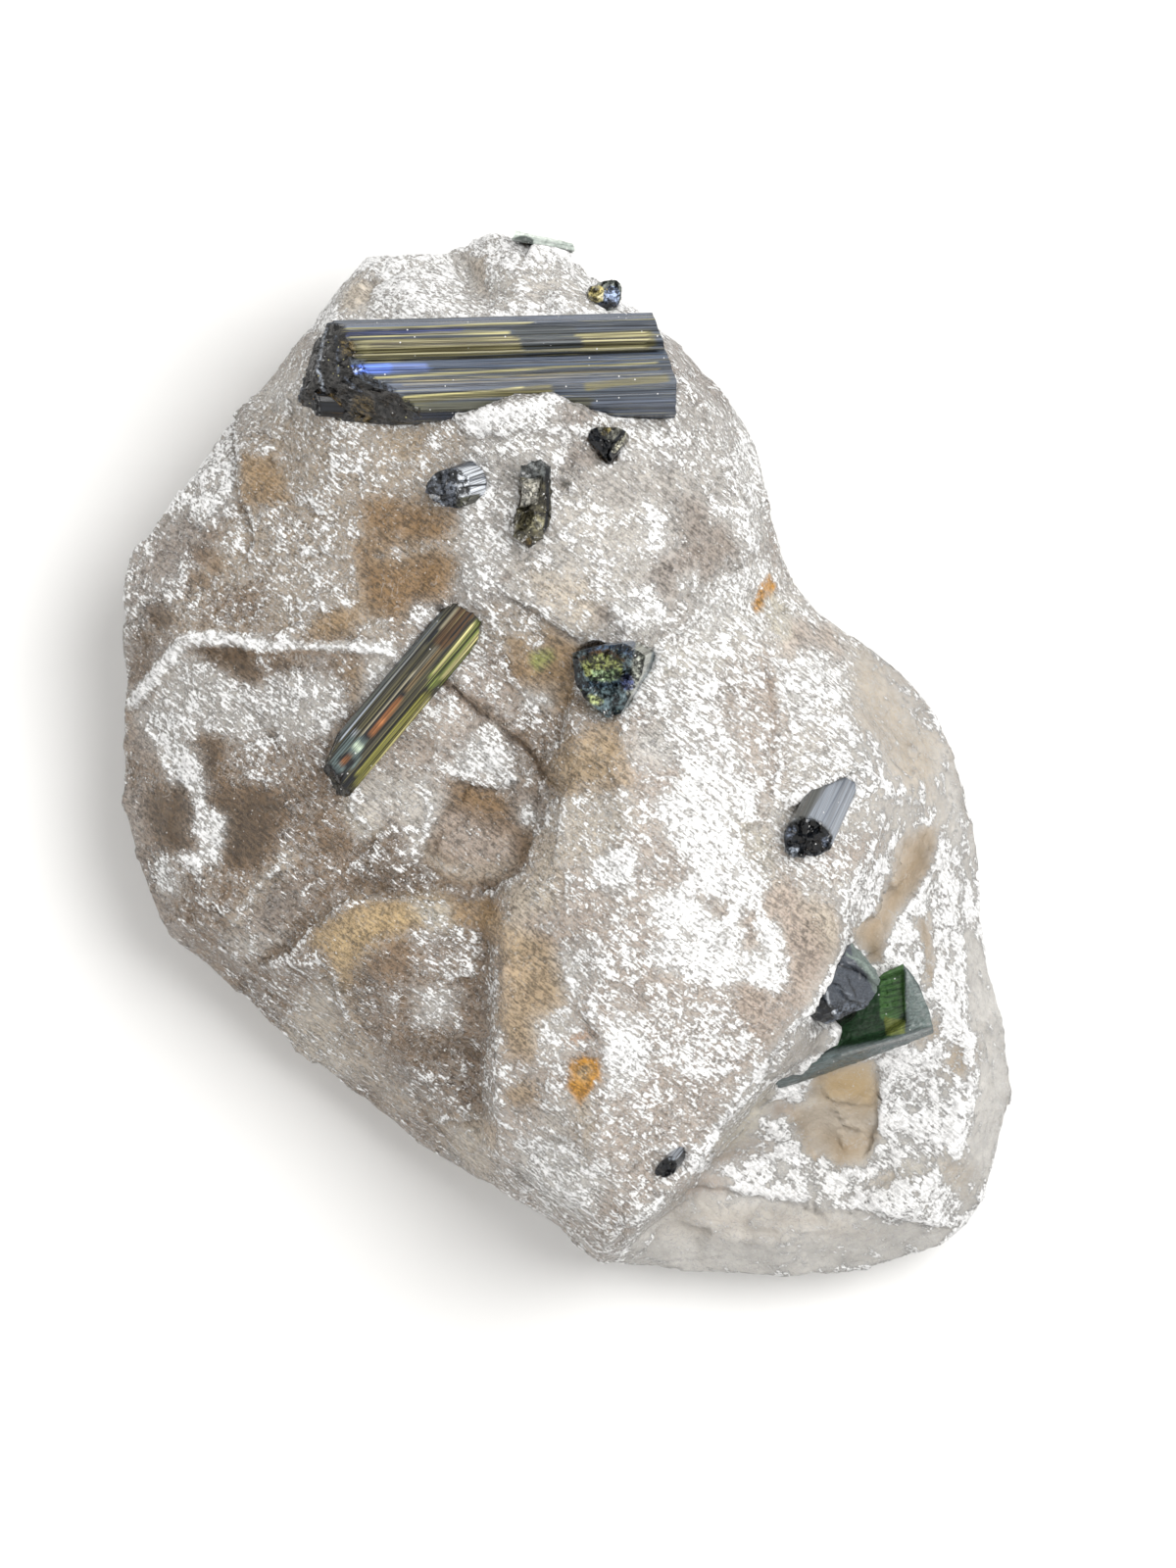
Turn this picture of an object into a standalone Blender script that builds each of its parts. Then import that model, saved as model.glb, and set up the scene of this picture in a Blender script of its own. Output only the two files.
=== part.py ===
"""Tourmalinated quartz: a lump of smoky quartz with tourmaline crystals set in it.

The lump lies on its flat fracture face, with +Z up and the origin under its middle.
Its upper side is read as a relief map. A reading is (across, up, height) in millimetres:
across and up are measured on a sheet laid at SHEET_HEIGHT, looking straight down from
EYE_HEIGHT, and height is above the surface that the lump rests on.
"""

import itertools
import math

import bmesh
import bpy
import numpy as np
from mathutils import Matrix, Vector, geometry, noise

MM = 0.001

# Where the readings are taken from
EYE_HEIGHT = 840.0
SHEET_HEIGHT = 40.0
EYE_ACROSS = 60.0
EYE_UP = 80.0
MIDDLE = Vector((57.73, 82.51, 0.0))
SAME_READING = 1e-4
SAME_PLACE = 1e-7

# The quartz
SMOKY_COLOUR = (0.52, 0.45, 0.38)
SMOKY_ROUGHNESS = 0.35
VOXEL = 0.9
QUARTZ_TRIANGLES = 6600
FACETS = 260
FACET_SEED = 7
FACET_ROUNDS = 9
FACET_BATCHES = 16
NORMAL_WEIGHT = 13.0
FLATNESS = 0.9
MOST_SHIFT = 1.1
RIPPLE_SIZE = 4.2
RIPPLE_HEIGHT = 0.12
RIPPLE_FALLOFF = 0.9
RIPPLE_STEP = 2.1
RIPPLE_OCTAVES = 3
WALL_INSET = 0.035
WALL_HEIGHT_SHARE = 0.45
BASE_INSET = 0.17
BASE_WAVE = 0.05
BASE_WAVES = 5
BASE_TRIM = 0.9

# The tourmaline
BLACK_COLOUR = (0.035, 0.04, 0.045)
GREEN_COLOUR = (0.05, 0.12, 0.06)
TOURMALINE_ROUGHNESS = 0.22
GAP = 0.3
FLUTES = 12
FLUTE_DEPTH = 0.035
SIDES = 3
ROUND_TRIANGLE = 0.10

# The outer line of the lump, from the top left corner and clockwise
OUTLINE = [
    (32.5, 127.5, 22), (34.5, 131.0, 23), (37.7, 134.4, 26), (42.5, 133.8, 27),
    (45.5, 135.0, 27), (46.7, 134.0, 24), (48.0, 135.8, 26), (50.5, 136.3, 28),
    (54.5, 135.2, 29), (58.5, 134.0, 29), (60.7, 131.8, 25), (64.0, 129.0, 25),
    (67.0, 127.0, 24), (70.0, 123.8, 22), (73.5, 120.2, 22), (76.8, 116.2, 22),
    (77.9, 112.8, 22), (78.6, 108.5, 24), (79.4, 104.3, 25), (80.6, 101.9, 23),
    (81.6, 99.1, 22), (84.7, 96.6, 22), (88.2, 94.4, 20), (93.0, 90.5, 19),
    (95.6, 87.0, 18), (97.3, 83.5, 18), (98.2, 79.5, 17), (99.3, 76.0, 16),
    (99.9, 72.5, 15), (100.0, 66.0, 14), (100.2, 61.5, 13), (101.7, 59.4, 13),
    (102.6, 56.5, 12), (103.0, 52.0, 12), (102.7, 47.0, 12), (101.8, 42.0, 11),
    (100.5, 38.0, 11), (98.8, 34.6, 10), (96.2, 32.6, 10), (92.0, 31.5, 10),
    (86.0, 30.2, 10), (80.0, 29.5, 10), (74.0, 29.8, 10), (67.5, 30.2, 10),
    (62.8, 30.6, 12), (60.6, 31.6, 16), (57.5, 34.2, 18), (52.0, 37.8, 16),
    (48.0, 40.2, 14), (44.0, 42.4, 12), (39.5, 45.4, 11), (34.8, 49.2, 11),
    (29.8, 52.9, 12), (26.2, 56.7, 13), (24.0, 59.5, 14), (20.0, 62.0, 15),
    (17.0, 64.5, 16), (16.0, 67.0, 17), (14.2, 71.0, 18), (13.1, 75.0, 18),
    (12.5, 81.0, 18), (12.1, 85.5, 18), (12.6, 88.0, 18), (12.9, 91.0, 20),
    (12.5, 96.0, 22), (12.3, 100.2, 22), (13.1, 103.2, 22), (16.5, 107.5, 22),
    (19.8, 112.2, 22), (23.6, 117.0, 22), (26.5, 120.4, 22), (29.6, 123.8, 22),
]

# Crests, ledges, grooves and cliffs of the upper side
FEATURES = {
    "cap_left_crest": [(36.5, 130.0, 30), (40.0, 131.2, 32.5), (44.0, 131.8, 32)],
    "cap_notch": [(46.9, 132.6, 26), (48.4, 130.9, 28.5), (49.3, 129.4, 32)],
    "cap_right_crest": [(51.5, 133.3, 31), (55.5, 131.8, 33), (59.5, 129.8, 32.5)],
    "above_bar": [
        (33.6, 127.4, 31), (38.0, 128.3, 35), (45.0, 128.5, 37.5),
        (54.0, 128.6, 38.5), (62.0, 128.4, 36.5), (66.0, 127.2, 31.5),
    ],
    "right_of_bar": [(68.6, 124.4, 32), (69.4, 121.0, 37), (69.2, 117.0, 39.5)],
    "below_bar": [
        (30.5, 121.5, 33), (32.6, 117.0, 37.5), (40.0, 115.0, 40), (45.6, 116.2, 42.6),
        (49.0, 117.2, 45.0), (52.6, 118.1, 45.8), (56.0, 118.3, 45.6), (61.0, 116.6, 44.2),
        (64.0, 115.4, 42.0), (68.0, 115.0, 41),
    ],
    "left_facet_edge": [
        (27.8, 119.2, 27), (24.8, 113.6, 29.5), (24.6, 108.0, 30.5),
        (20.6, 102.0, 27.5), (18.8, 96.2, 27.5),
    ],
    "vein": [
        (14.2, 88.6, 20.5), (18.6, 94.4, 27.5), (26.0, 94.9, 32.5),
        (33.0, 94.2, 36.5), (39.2, 93.6, 38.6),
    ],
    "left_belly": [
        (20.5, 66.5, 23.0), (19.6, 72.5, 24.5), (20.5, 80.0, 26.0), (21.5, 86.5, 28.0),
    ],
    "left_shoulder": [
        (26.6, 67.8, 27.5), (29.0, 74.0, 30.5), (31.0, 81.5, 33.5), (31.5, 88.5, 35.5),
    ],
    "ledge_groove": [
        (26.4, 61.6, 23.5), (29.2, 65.2, 26.5), (32.4, 67.8, 29.5), (36.2, 68.9, 31.5),
        (41.0, 68.9, 33.0), (46.0, 68.7, 34.5), (50.2, 69.5, 36.0),
    ],
    "ledge_crest": [
        (33.2, 61.6, 32.0), (35.6, 64.6, 34.5), (40.5, 65.9, 36.5), (45.6, 65.4, 37.0),
        (49.0, 66.2, 36.5),
    ],
    "ledge_face": [
        (33.0, 56.4, 22.0), (37.5, 53.8, 26.0), (42.5, 50.6, 27.5), (46.6, 47.0, 27.0),
        (48.4, 43.6, 24.5),
    ],
    "block_wall_foot": [
        (53.6, 71.6, 38.0), (55.4, 76.0, 39.5), (56.4, 81.0, 40.5), (56.9, 85.5, 41.5),
    ],
    "block_wall_top": [
        (54.9, 71.2, 42.5), (56.8, 76.0, 44.5), (57.8, 81.0, 45.5), (58.9, 85.4, 45.0),
    ],
    "block_side_foot": [
        (49.9, 62.0, 33.5), (49.4, 55.0, 31.0), (49.0, 48.0, 28.5),
    ],
    "block_side_top": [
        (52.0, 68.2, 41.5), (51.2, 62.0, 40.5), (50.8, 55.0, 39.0), (50.4, 47.5, 36.5),
        (51.2, 41.6, 31.0),
    ],
    "block_crest": [
        (61.6, 84.0, 46.5), (63.6, 78.0, 48.0), (64.2, 70.0, 48.5), (62.6, 62.0, 47.5),
        (63.0, 52.0, 45.0), (61.0, 43.0, 41.0), (59.8, 37.0, 35.5),
    ],
    "cliff_top": [
        (86.8, 66.6, 40.5), (84.9, 61.0, 40.0), (82.4, 56.0, 40.0), (77.4, 49.6, 39.6),
        (72.6, 43.4, 39.0), (67.6, 37.8, 37.5), (63.8, 34.2, 35.5), (61.4, 32.7, 29.0),
    ],
    "cliff_foot": [
        (88.2, 66.4, 33.0), (86.3, 60.6, 31.0), (84.2, 55.0, 30.0), (81.4, 51.9, 27.5),
        (78.7, 48.8, 22.5), (73.8, 42.4, 17.5), (68.8, 36.8, 16.5), (64.9, 33.2, 15.0),
    ],
    "edge_channel": [
        (64.6, 38.2, 37.4), (68.0, 41.2, 38.4), (71.6, 45.6, 39.6), (75.0, 50.2, 40.8),
    ],
    "block_plateau": [
        (70.0, 60.0, 46.0), (73.0, 68.0, 47.0), (72.0, 76.0, 47.0), (68.0, 83.0, 46.0),
    ],
    "right_crease": [
        (76.8, 93.0, 37.5), (75.8, 87.0, 41.5), (76.8, 80.0, 43.5), (79.4, 73.6, 43.0),
        (83.4, 69.6, 41.8),
    ],
    "right_shoulder": [
        (81.6, 94.5, 30.5), (85.6, 88.5, 35.5), (88.6, 81.6, 38.6), (90.4, 76.0, 35.5),
    ],
    "right_slope": [
        (90.5, 87.0, 25.0), (94.6, 80.5, 25.0), (96.6, 75.0, 22.5),
    ],
    "brown_groove": [
        (90.0, 66.4, 29.0), (93.2, 70.6, 26.0), (96.4, 72.2, 21.0),
    ],
    "terrace_rim": [
        (93.8, 64.0, 26.5), (97.0, 58.0, 22.5), (99.0, 50.0, 21.0), (97.2, 42.0, 20.0),
        (92.0, 37.0, 18.5), (84.0, 34.6, 17.5), (75.0, 33.4, 16.5),
    ],
    "terrace_hollow": [
        (92.4, 52.0, 21.5), (90.4, 47.0, 17.5), (86.0, 42.6, 15.0), (79.0, 40.6, 15.0),
    ],
    "white_valley": [
        (78.6, 101.6, 29.0), (75.8, 98.6, 35.0), (71.6, 95.0, 39.0), (67.6, 91.8, 41.5),
    ],
    "flap_foot": [
        (49.4, 98.4, 41.0), (54.0, 95.6, 41.8), (58.2, 93.4, 42.4),
    ],
    "flap_edge": [
        (50.4, 100.0, 43.4), (54.6, 97.0, 44.4), (59.0, 94.8, 45.0), (64.6, 95.6, 44.6),
        (69.6, 99.4, 43.0), (74.6, 102.6, 39.0), (77.2, 105.6, 33.0),
    ],
    "flap_crest": [
        (53.6, 111.0, 43.4), (57.0, 106.0, 45.0), (61.0, 103.0, 45.6), (68.0, 105.6, 44.0),
    ],
    "right_flank": [(73.6, 114.6, 34.5), (75.6, 109.6, 35.5)],
}

# Single heights between those lines
SPOTS = [
    (36.0, 110.0, 38.2), (44.0, 109.0, 40.6), (49.6, 111.0, 42.0), (30.0, 112.6, 33.6),
    (30.6, 105.0, 34.4), (37.6, 102.0, 38.2), (44.6, 101.0, 40.6), (26.0, 100.4, 31.0),
    (15.6, 99.0, 24.6), (19.6, 107.6, 25.6), (41.0, 98.0, 39.4), (66.0, 110.6, 42.6),
    (71.6, 119.4, 34.0), (60.0, 111.6, 43.6), (27.6, 89.0, 32.4), (38.0, 84.0, 36.0),
    (43.4, 84.6, 37.0), (48.8, 90.0, 39.6), (53.0, 91.0, 41.0), (40.6, 77.4, 34.4),
    (47.4, 79.0, 35.8), (52.0, 82.4, 38.6), (37.4, 73.0, 33.0), (44.4, 73.4, 33.6),
    (50.0, 74.6, 36.0), (33.6, 76.4, 32.6), (24.4, 76.8, 28.4), (30.4, 60.8, 26.0),
    (38.6, 59.0, 33.0), (44.6, 58.0, 34.6), (56.6, 60.0, 44.4), (57.0, 68.0, 45.6),
    (55.6, 50.0, 41.4), (69.0, 52.0, 43.4), (78.0, 62.0, 44.4), (80.4, 56.6, 42.4),
    (82.0, 78.6, 42.0), (80.4, 86.4, 38.6), (71.6, 88.4, 43.4), (87.0, 72.0, 40.0),
    (82.6, 46.0, 17.5), (94.0, 34.8, 14.5), (86.6, 50.0, 21.5), (70.4, 34.4, 15.0),
    (45.2, 98.9, 42.4), (47.4, 98.6, 43.4), (49.2, 97.6, 43.4), (49.4, 104.4, 44.0),
    (92.6, 57.6, 25.0), (90.6, 61.0, 28.5),
]

# Fracture faces below the outer line: the azimuth that each faces, how far it leans
# under, both in degrees, and its distance from the axis through MIDDLE at the base
UNDERCUTS = [
    (20, 34, 36.2), (62, 40, 41.1), (104, 30, 42.5), (140, 42, 36.1), (172, 36, 33.5),
    (205, 44, 33.1), (236, 38, 33.0), (266, 42, 44.6), (300, 45, 54.6), (338, 44, 48.7),
]


def true_place(across, up, height):
    """The place of a reading. What lies below the sheet is further out than it reads."""
    spread = (EYE_HEIGHT - height) / (EYE_HEIGHT - SHEET_HEIGHT)
    sheet = Vector((EYE_ACROSS, EYE_UP, 0.0))
    flat = Vector((across, up, 0.0)) - sheet
    place = sheet + flat * spread - MIDDLE
    place.z = height
    return place * MM


def link(obj, collection):
    collection.objects.link(obj)
    return obj


def object_from(bm, name, collection):
    """A new object that holds the bmesh."""
    mesh = bpy.data.meshes.new(name)
    bm.to_mesh(mesh)
    bm.free()
    return link(bpy.data.objects.new(name, mesh), collection)


def baked(obj):
    """Replaces the object's mesh by its evaluated one, and drops its modifiers."""
    graph = bpy.context.evaluated_depsgraph_get()
    mesh = bpy.data.meshes.new_from_object(obj.evaluated_get(graph))
    obj.modifiers.clear()
    obj.data = mesh
    return obj


def finish_named(name, colour, roughness):
    """A plain surface finish."""
    material = bpy.data.materials.new(name)
    material.use_nodes = True
    shader = material.node_tree.nodes["Principled BSDF"]
    shader.inputs["Base Color"].default_value = (*colour, 1.0)
    shader.inputs["Roughness"].default_value = roughness
    return material


def relief_sheet(bm):
    """The upper side: a sheet of triangles whose edges follow the outline and the features."""
    readings = []
    edges = []
    for line, closed in [(OUTLINE, True)] + [(line, False) for line in FEATURES.values()]:
        first = len(readings)
        readings += line
        edges += [(first + i, first + i + 1) for i in range(len(line) - 1)]
        if closed:
            edges.append((len(readings) - 1, first))
    readings += SPOTS
    flat = [Vector(reading[:2]) for reading in readings]
    sheet = geometry.delaunay_2d_cdt(flat, edges, [], 1, SAME_READING)
    points, _, faces, sources = sheet[:4]
    heights = [readings[source[0]][2] for source in sources]
    corners = [bm.verts.new(true_place(p.x, p.y, z)) for p, z in zip(points, heights)]
    for face in faces:
        bm.faces.new([corners[i] for i in face])


def lower_ring(bm, ring, inset, height_share):
    """A closed ring of edges under the outline, drawn in towards the middle by the inset."""
    corners = []
    for vert in ring:
        azimuth = math.atan2(vert.co.y, vert.co.x)
        share = 1.0 - inset * (1.0 + BASE_WAVE * math.sin(BASE_WAVES * azimuth))
        place = (vert.co.x * share, vert.co.y * share, vert.co.z * height_share)
        corners.append(bm.verts.new(place))
    return [bm.edges.new((a, b)) for a, b in zip(corners, corners[1:] + corners[:1])]


def ordered_rim(bm):
    """The sheet's rim vertices in order, and its edges."""
    edges = [edge for edge in bm.edges if edge.is_boundary]
    start = edges[0].verts[0]
    ring = [start]
    previous = None
    while True:
        nexts = [e.other_vert(ring[-1]) for e in ring[-1].link_edges if e.is_boundary]
        step = next(v for v in nexts if v is not previous)
        if step is start:
            return ring, edges
        previous = ring[-1]
        ring.append(step)


def cut(bm, point, normal):
    """Cuts off what lies on the normal's side of the plane, and closes the cut."""
    whole = bm.verts[:] + bm.edges[:] + bm.faces[:]
    found = bmesh.ops.bisect_plane(
        bm, geom=whole, plane_co=point, plane_no=normal, clear_outer=True, dist=SAME_PLACE
    )
    rim = [part for part in found["geom_cut"] if isinstance(part, bmesh.types.BMEdge)]
    bmesh.ops.holes_fill(bm, edges=rim, sides=0)


def rough_lump(collection):
    """The quartz before its surface is broken up: the relief, walls below it and a base."""
    bm = bmesh.new()
    relief_sheet(bm)
    ring, rim = ordered_rim(bm)
    wall = lower_ring(bm, ring, WALL_INSET, WALL_HEIGHT_SHARE)
    base = lower_ring(bm, ring, BASE_INSET, 0.0)
    bmesh.ops.bridge_loops(bm, edges=rim + wall)
    bmesh.ops.bridge_loops(bm, edges=wall + base)
    bmesh.ops.contextual_create(bm, geom=base)
    bmesh.ops.recalc_face_normals(bm, faces=bm.faces[:])
    bmesh.ops.triangulate(bm, faces=bm.faces[:])
    for azimuth, lean, distance in UNDERCUTS:
        turn = math.radians(azimuth)
        drop = math.radians(lean)
        outward = Vector((math.cos(turn), math.sin(turn), 0.0))
        normal = outward * math.cos(drop) - Vector((0, 0, math.sin(drop)))
        cut(bm, outward * distance * MM, normal)
    bmesh.ops.triangulate(bm, faces=bm.faces[:])
    return object_from(bm, "quartz_matrix", collection)


def nearest_seed(traits, seeds):
    """For each row of traits, the number of the nearest seed."""
    reach = (seeds ** 2).sum(axis=1)
    batches = np.array_split(traits, FACET_BATCHES)
    return np.concatenate([(reach - 2 * rows @ seeds.T).argmin(axis=1) for rows in batches])


def flatten_facets(mesh):
    """Presses the surface into flat fracture faces.

    The vertices are sorted into groups that lie together and face one way, and each
    vertex moves most of the way onto its group's plane.
    """
    places = np.array([vertex.co for vertex in mesh.vertices]) / MM
    normals = np.array([vertex.normal for vertex in mesh.vertices])
    traits = np.hstack([places, normals * NORMAL_WEIGHT])
    picked = np.random.default_rng(FACET_SEED).choice(len(traits), FACETS, replace=False)
    seeds = traits[picked]
    for _ in range(FACET_ROUNDS):
        group = nearest_seed(traits, seeds)
        sizes = np.maximum(np.bincount(group, minlength=FACETS), 1)
        for column in range(traits.shape[1]):
            seeds[:, column] = np.bincount(group, traits[:, column], FACETS) / sizes
    facing = seeds[:, 3:] / np.linalg.norm(seeds[:, 3:], axis=1, keepdims=True)
    offset = ((places - seeds[group, :3]) * facing[group]).sum(axis=1, keepdims=True)
    places -= facing[group] * np.clip(offset * FLATNESS, -MOST_SHIFT, MOST_SHIFT)
    for vertex, place in zip(mesh.vertices, places):
        vertex.co = place * MM


def ripple_height(point):
    """How far the fine ripple stands off the surface."""
    place = point / (RIPPLE_SIZE * MM)
    wave = noise.fractal(place, RIPPLE_FALLOFF, RIPPLE_STEP, RIPPLE_OCTAVES)
    return wave * RIPPLE_HEIGHT * MM


def quartz_lump(collection):
    """The lump of quartz, with the broken surface of a natural piece and a flat base."""
    lump = rough_lump(collection)
    remesh = lump.modifiers.new("even mesh", "REMESH")
    remesh.mode = "VOXEL"
    remesh.voxel_size = VOXEL * MM
    baked(lump)
    flatten_facets(lump.data)
    normals = [vertex.normal.copy() for vertex in lump.data.vertices]
    for vertex, normal in zip(lump.data.vertices, normals):
        vertex.co += normal * ripple_height(vertex.co)
    fewer = lump.modifiers.new("fewer faces", "DECIMATE")
    lump.data.calc_loop_triangles()
    fewer.ratio = QUARTZ_TRIANGLES / len(lump.data.loop_triangles)
    baked(lump)
    bm = bmesh.new()
    bm.from_mesh(lump.data)
    cut(bm, Vector((0, 0, BASE_TRIM * MM)), Vector((0, 0, -1)))
    bmesh.ops.translate(bm, verts=bm.verts[:], vec=(0, 0, -BASE_TRIM * MM))
    bmesh.ops.triangulate(bm, faces=bm.faces[:])
    bm.to_mesh(lump.data)
    bm.free()
    return lump


def fluted_outline(width, depth, triangle, grow=0.0):
    """A tourmaline's cross-section: a rounded triangle with flutes, as (x, y) pairs.

    The higher triangle is, the sharper its three corners, one of which is on +X.
    """
    count = 2 * FLUTES
    points = []
    for i in range(count):
        angle = 2 * math.pi * i / count
        radius = 1 + triangle * math.cos(SIDES * angle) - FLUTE_DEPTH * (i % 2)
        points.append((
            (radius * width / 2 + grow) * math.cos(angle),
            (radius * depth / 2 + grow) * math.sin(angle),
        ))
    return points


def bar_outline(grow=0.0):
    """The large crystal's cross-section: two prisms grown side by side, a groove between."""
    profile = [
        (-5.4, -1.6), (-5.25, 0.7), (-4.6, 2.2), (-3.2, 2.9), (-2.2, 2.75), (-1.75, 1.9),
        (-1.5, 1.9), (-0.9, 2.9), (0.5, 3.4), (2.4, 3.4), (4.1, 2.8), (5.15, 1.2),
        (5.4, -1.0), (4.6, -4.0), (1.6, -5.4), (-1.8, -5.1), (-4.5, -3.7),
    ]
    return [
        (x + grow * x / math.hypot(x, y), y + grow * y / math.hypot(x, y)) for x, y in profile
    ]


def prism(bm, outline, length, grow=0.0):
    """A straight prism along Z, its exposed end at the origin and the rest below it."""
    top = [bm.verts.new((x * MM, y * MM, grow * MM)) for x, y in outline]
    face = bm.faces.new(top)
    made = bmesh.ops.extrude_face_region(bm, geom=[face])
    ends = [v for v in made["geom"] if isinstance(v, bmesh.types.BMVert)]
    bmesh.ops.translate(bm, verts=ends, vec=(0, 0, -(length + 2 * grow) * MM))
    bmesh.ops.recalc_face_normals(bm, faces=bm.faces[:])


def placing(tip, axis, turn):
    """The matrix that puts a prism's exposed end at the tip, with its length along the axis.

    At turn 0 the outline's x side is level.
    """
    along = Vector(axis).normalized()
    level = Vector((0, 0, 1)).cross(along).normalized()
    side = along.cross(level)
    frame = Matrix((level, side, along)).transposed().to_4x4()
    spin = Matrix.Rotation(math.radians(turn), 4, "Z")
    return Matrix.Translation(true_place(*tip)) @ frame @ spin


def end_cuts(bm, cuts, grow):
    """Breaks the ends. Each cut is ((x, y, z), (nx, ny, nz)) in the prism's own millimetres."""
    for point, normal in cuts:
        direction = Vector(normal).normalized()
        cut(bm, (Vector(point) + direction * grow) * MM, direction)


# Each crystal: the reading of its exposed end, the direction from its buried end to that
# end, its width, depth and length in millimetres, its turn in degrees, and its end cuts.
# A crystal with three clear corners also has its own triangle value.
CRYSTALS = {
    "tourmaline_diagonal_prism": {
        "tip": (33.8, 80.6, 36.9), "axis": (-0.645, -0.764, -0.09),
        "size": (5.0, 5.2, 26.5), "turn": 25,
        "cuts": [((0, 0, -0.2), (-0.10, 0.35, 1.0)), ((-1.6, 0.5, -1.8), (-0.85, 0.5, 0.3))],
    },
    "tourmaline_valley_stub": {
        "tip": (61.9, 91.0, 48.6), "axis": (-0.12, -0.06, 0.98),
        "size": (7.9, 7.5, 15.0), "triangle": 0.20, "turn": 92,
        "cuts": [((0, 0, -0.8), (-0.15, -0.30, 1.0)), ((-1.5, 1.0, -0.7), (-0.4, 0.3, 0.9))],
    },
    "tourmaline_right_stub": {
        "tip": (82.2, 74.3, 44.4), "axis": (-0.28, -0.56, 0.78),
        "size": (5.0, 5.0, 16.0), "turn": 10,
        "cuts": [((0, 0, -0.3), (0.12, 0.10, 1.0))],
    },
    "tourmaline_small_stub": {
        "tip": (45.4, 110.0, 43.6), "axis": (-0.62, -0.25, 0.74),
        "size": (4.3, 4.0, 6.4), "turn": 15,
        "cuts": [((0, 0, -0.5), (0.2, 0.35, 1.0)), ((0, 1.0, -1.0), (0.3, 0.7, 0.8))],
    },
    "tourmaline_black_chip": {
        "tip": (67.9, 40.7, 39.9), "axis": (-0.34, -0.36, 0.87),
        "size": (1.8, 3.4, 6.0), "turn": 0,
        "cuts": [((0, 0, -0.3), (0.1, -0.3, 1.0))],
    },
    "tourmaline_shard": {
        "tip": (62.1, 115.1, 45.2), "axis": (0.02, 0.06, 1.0),
        "size": (4.0, 3.6, 5.0), "triangle": 0.25, "turn": -12,
        "cuts": [((0, 0, -0.6), (0.3, 0.2, 1.0)), ((-0.8, 0, -0.8), (-0.6, 0.1, 0.8))],
    },
    "tourmaline_top_nub": {
        "tip": (62.0, 130.4, 34.4), "axis": (0.12, 0.25, 0.95),
        "size": (3.5, 3.3, 9.0), "turn": 0,
        "cuts": [((0, 0, -0.8), (-0.4, 0.2, 1.0)), ((0.6, 0, -1), (0.8, -0.3, 0.8))],
    },
}

# Crystals broken into a shape of their own: the readings of their corners
BROKEN = {
    "tourmaline_dark_wedge": [
        (87.0, 64.0, 36.5), (89.1, 61.6, 35.6), (89.8, 60.0, 34.8), (89.6, 58.7, 34.2),
        (88.5, 57.0, 33.8), (85.6, 55.9, 34.2), (84.4, 55.4, 34.4), (83.1, 55.9, 35.5),
        (82.1, 56.7, 36.4), (84.1, 59.2, 37.3), (85.6, 61.8, 37.6), (86.4, 63.3, 37.3),
        (84.0, 63.0, 27.0), (87.0, 59.6, 27.0), (84.0, 55.8, 27.0), (80.0, 57.4, 27.0),
    ],
    "tourmaline_green_blade": [
        (90.1, 60.8, 31.0), (92.2, 61.8, 31.6), (93.8, 59.6, 31.3), (94.9, 57.0, 31.2),
        (95.3, 55.3, 31.0), (92.7, 55.0, 31.2), (90.0, 53.7, 30.2), (84.9, 52.6, 27.6),
        (79.4, 50.0, 24.4), (78.5, 49.3, 22.6), (79.3, 48.7, 21.8), (82.9, 49.8, 22.4),
        (89.5, 52.2, 24.6), (94.3, 54.1, 27.0), (95.4, 54.5, 28.4), (92.0, 61.6, 27.0),
        (82.0, 54.0, 19.0), (90.0, 57.6, 19.5), (80.6, 50.4, 18.6), (89.0, 54.0, 19.5),
    ],
    "tourmaline_top_splinter": [
        (52.5, 136.6, 30.2), (52.1, 135.4, 30.6), (58.5, 135.3, 30.2), (58.8, 134.3, 30.4),
        (52.6, 136.2, 28.4), (58.5, 134.9, 28.4), (52.5, 135.2, 27.6), (58.5, 134.1, 27.6),
    ],
    "tourmaline_broken_mass": [
        (53.0, 112.6, 45.4), (55.2, 113.4, 45.6), (56.3, 112.4, 46.0), (56.4, 107.4, 46.6),
        (55.4, 104.9, 46.8), (54.0, 103.8, 46.6), (52.2, 105.2, 46.4), (52.6, 108.6, 46.0),
        (53.6, 111.0, 38.6), (55.6, 110.6, 38.6), (55.6, 106.0, 38.6), (53.4, 106.0, 38.6),
    ],
}
GREEN = ("tourmaline_green_blade", "tourmaline_diagonal_prism")

BAR_TIP = (32.5, 121.9, 40.9)
BAR_AXIS = (-1.0, -0.027, 0.035)
BAR_LENGTH = 36.6
BAR_CUTS = [
    ((-5.4, 0.0, -1.8), (-0.37, 0.20, 1.0)),
    ((-0.2, 3.2, -3.9), (0.68, 0.59, 0.44)),
    ((-1.5, 2.7, -3.7), (0.25, 0.75, 0.60)),
    ((1.5, 0.0, -36.2), (-0.30, 0.0, -1.0)),
    ((3.0, 0.0, -36.3), (0.02, 0.0, -1.0)),
]
NUB_TIP = (32.2, 118.9, 38.4)
NUB_AXIS = (-0.94, 0.02, 0.34)
NUB_SIZE = (2.6, 2.4, 9.0)


def crystal(name, collection, grow=0.0):
    """One fluted tourmaline crystal with its end broken off. grow makes it larger all round."""
    facts = CRYSTALS[name]
    width, depth, length = facts["size"]
    bm = bmesh.new()
    triangle = facts.get("triangle", ROUND_TRIANGLE)
    prism(bm, fluted_outline(width, depth, triangle, grow), length, grow)
    end_cuts(bm, facts["cuts"], grow)
    bm.transform(placing(facts["tip"], facts["axis"], facts["turn"]))
    bmesh.ops.triangulate(bm, faces=bm.faces[:])
    return object_from(bm, name, collection)


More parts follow.
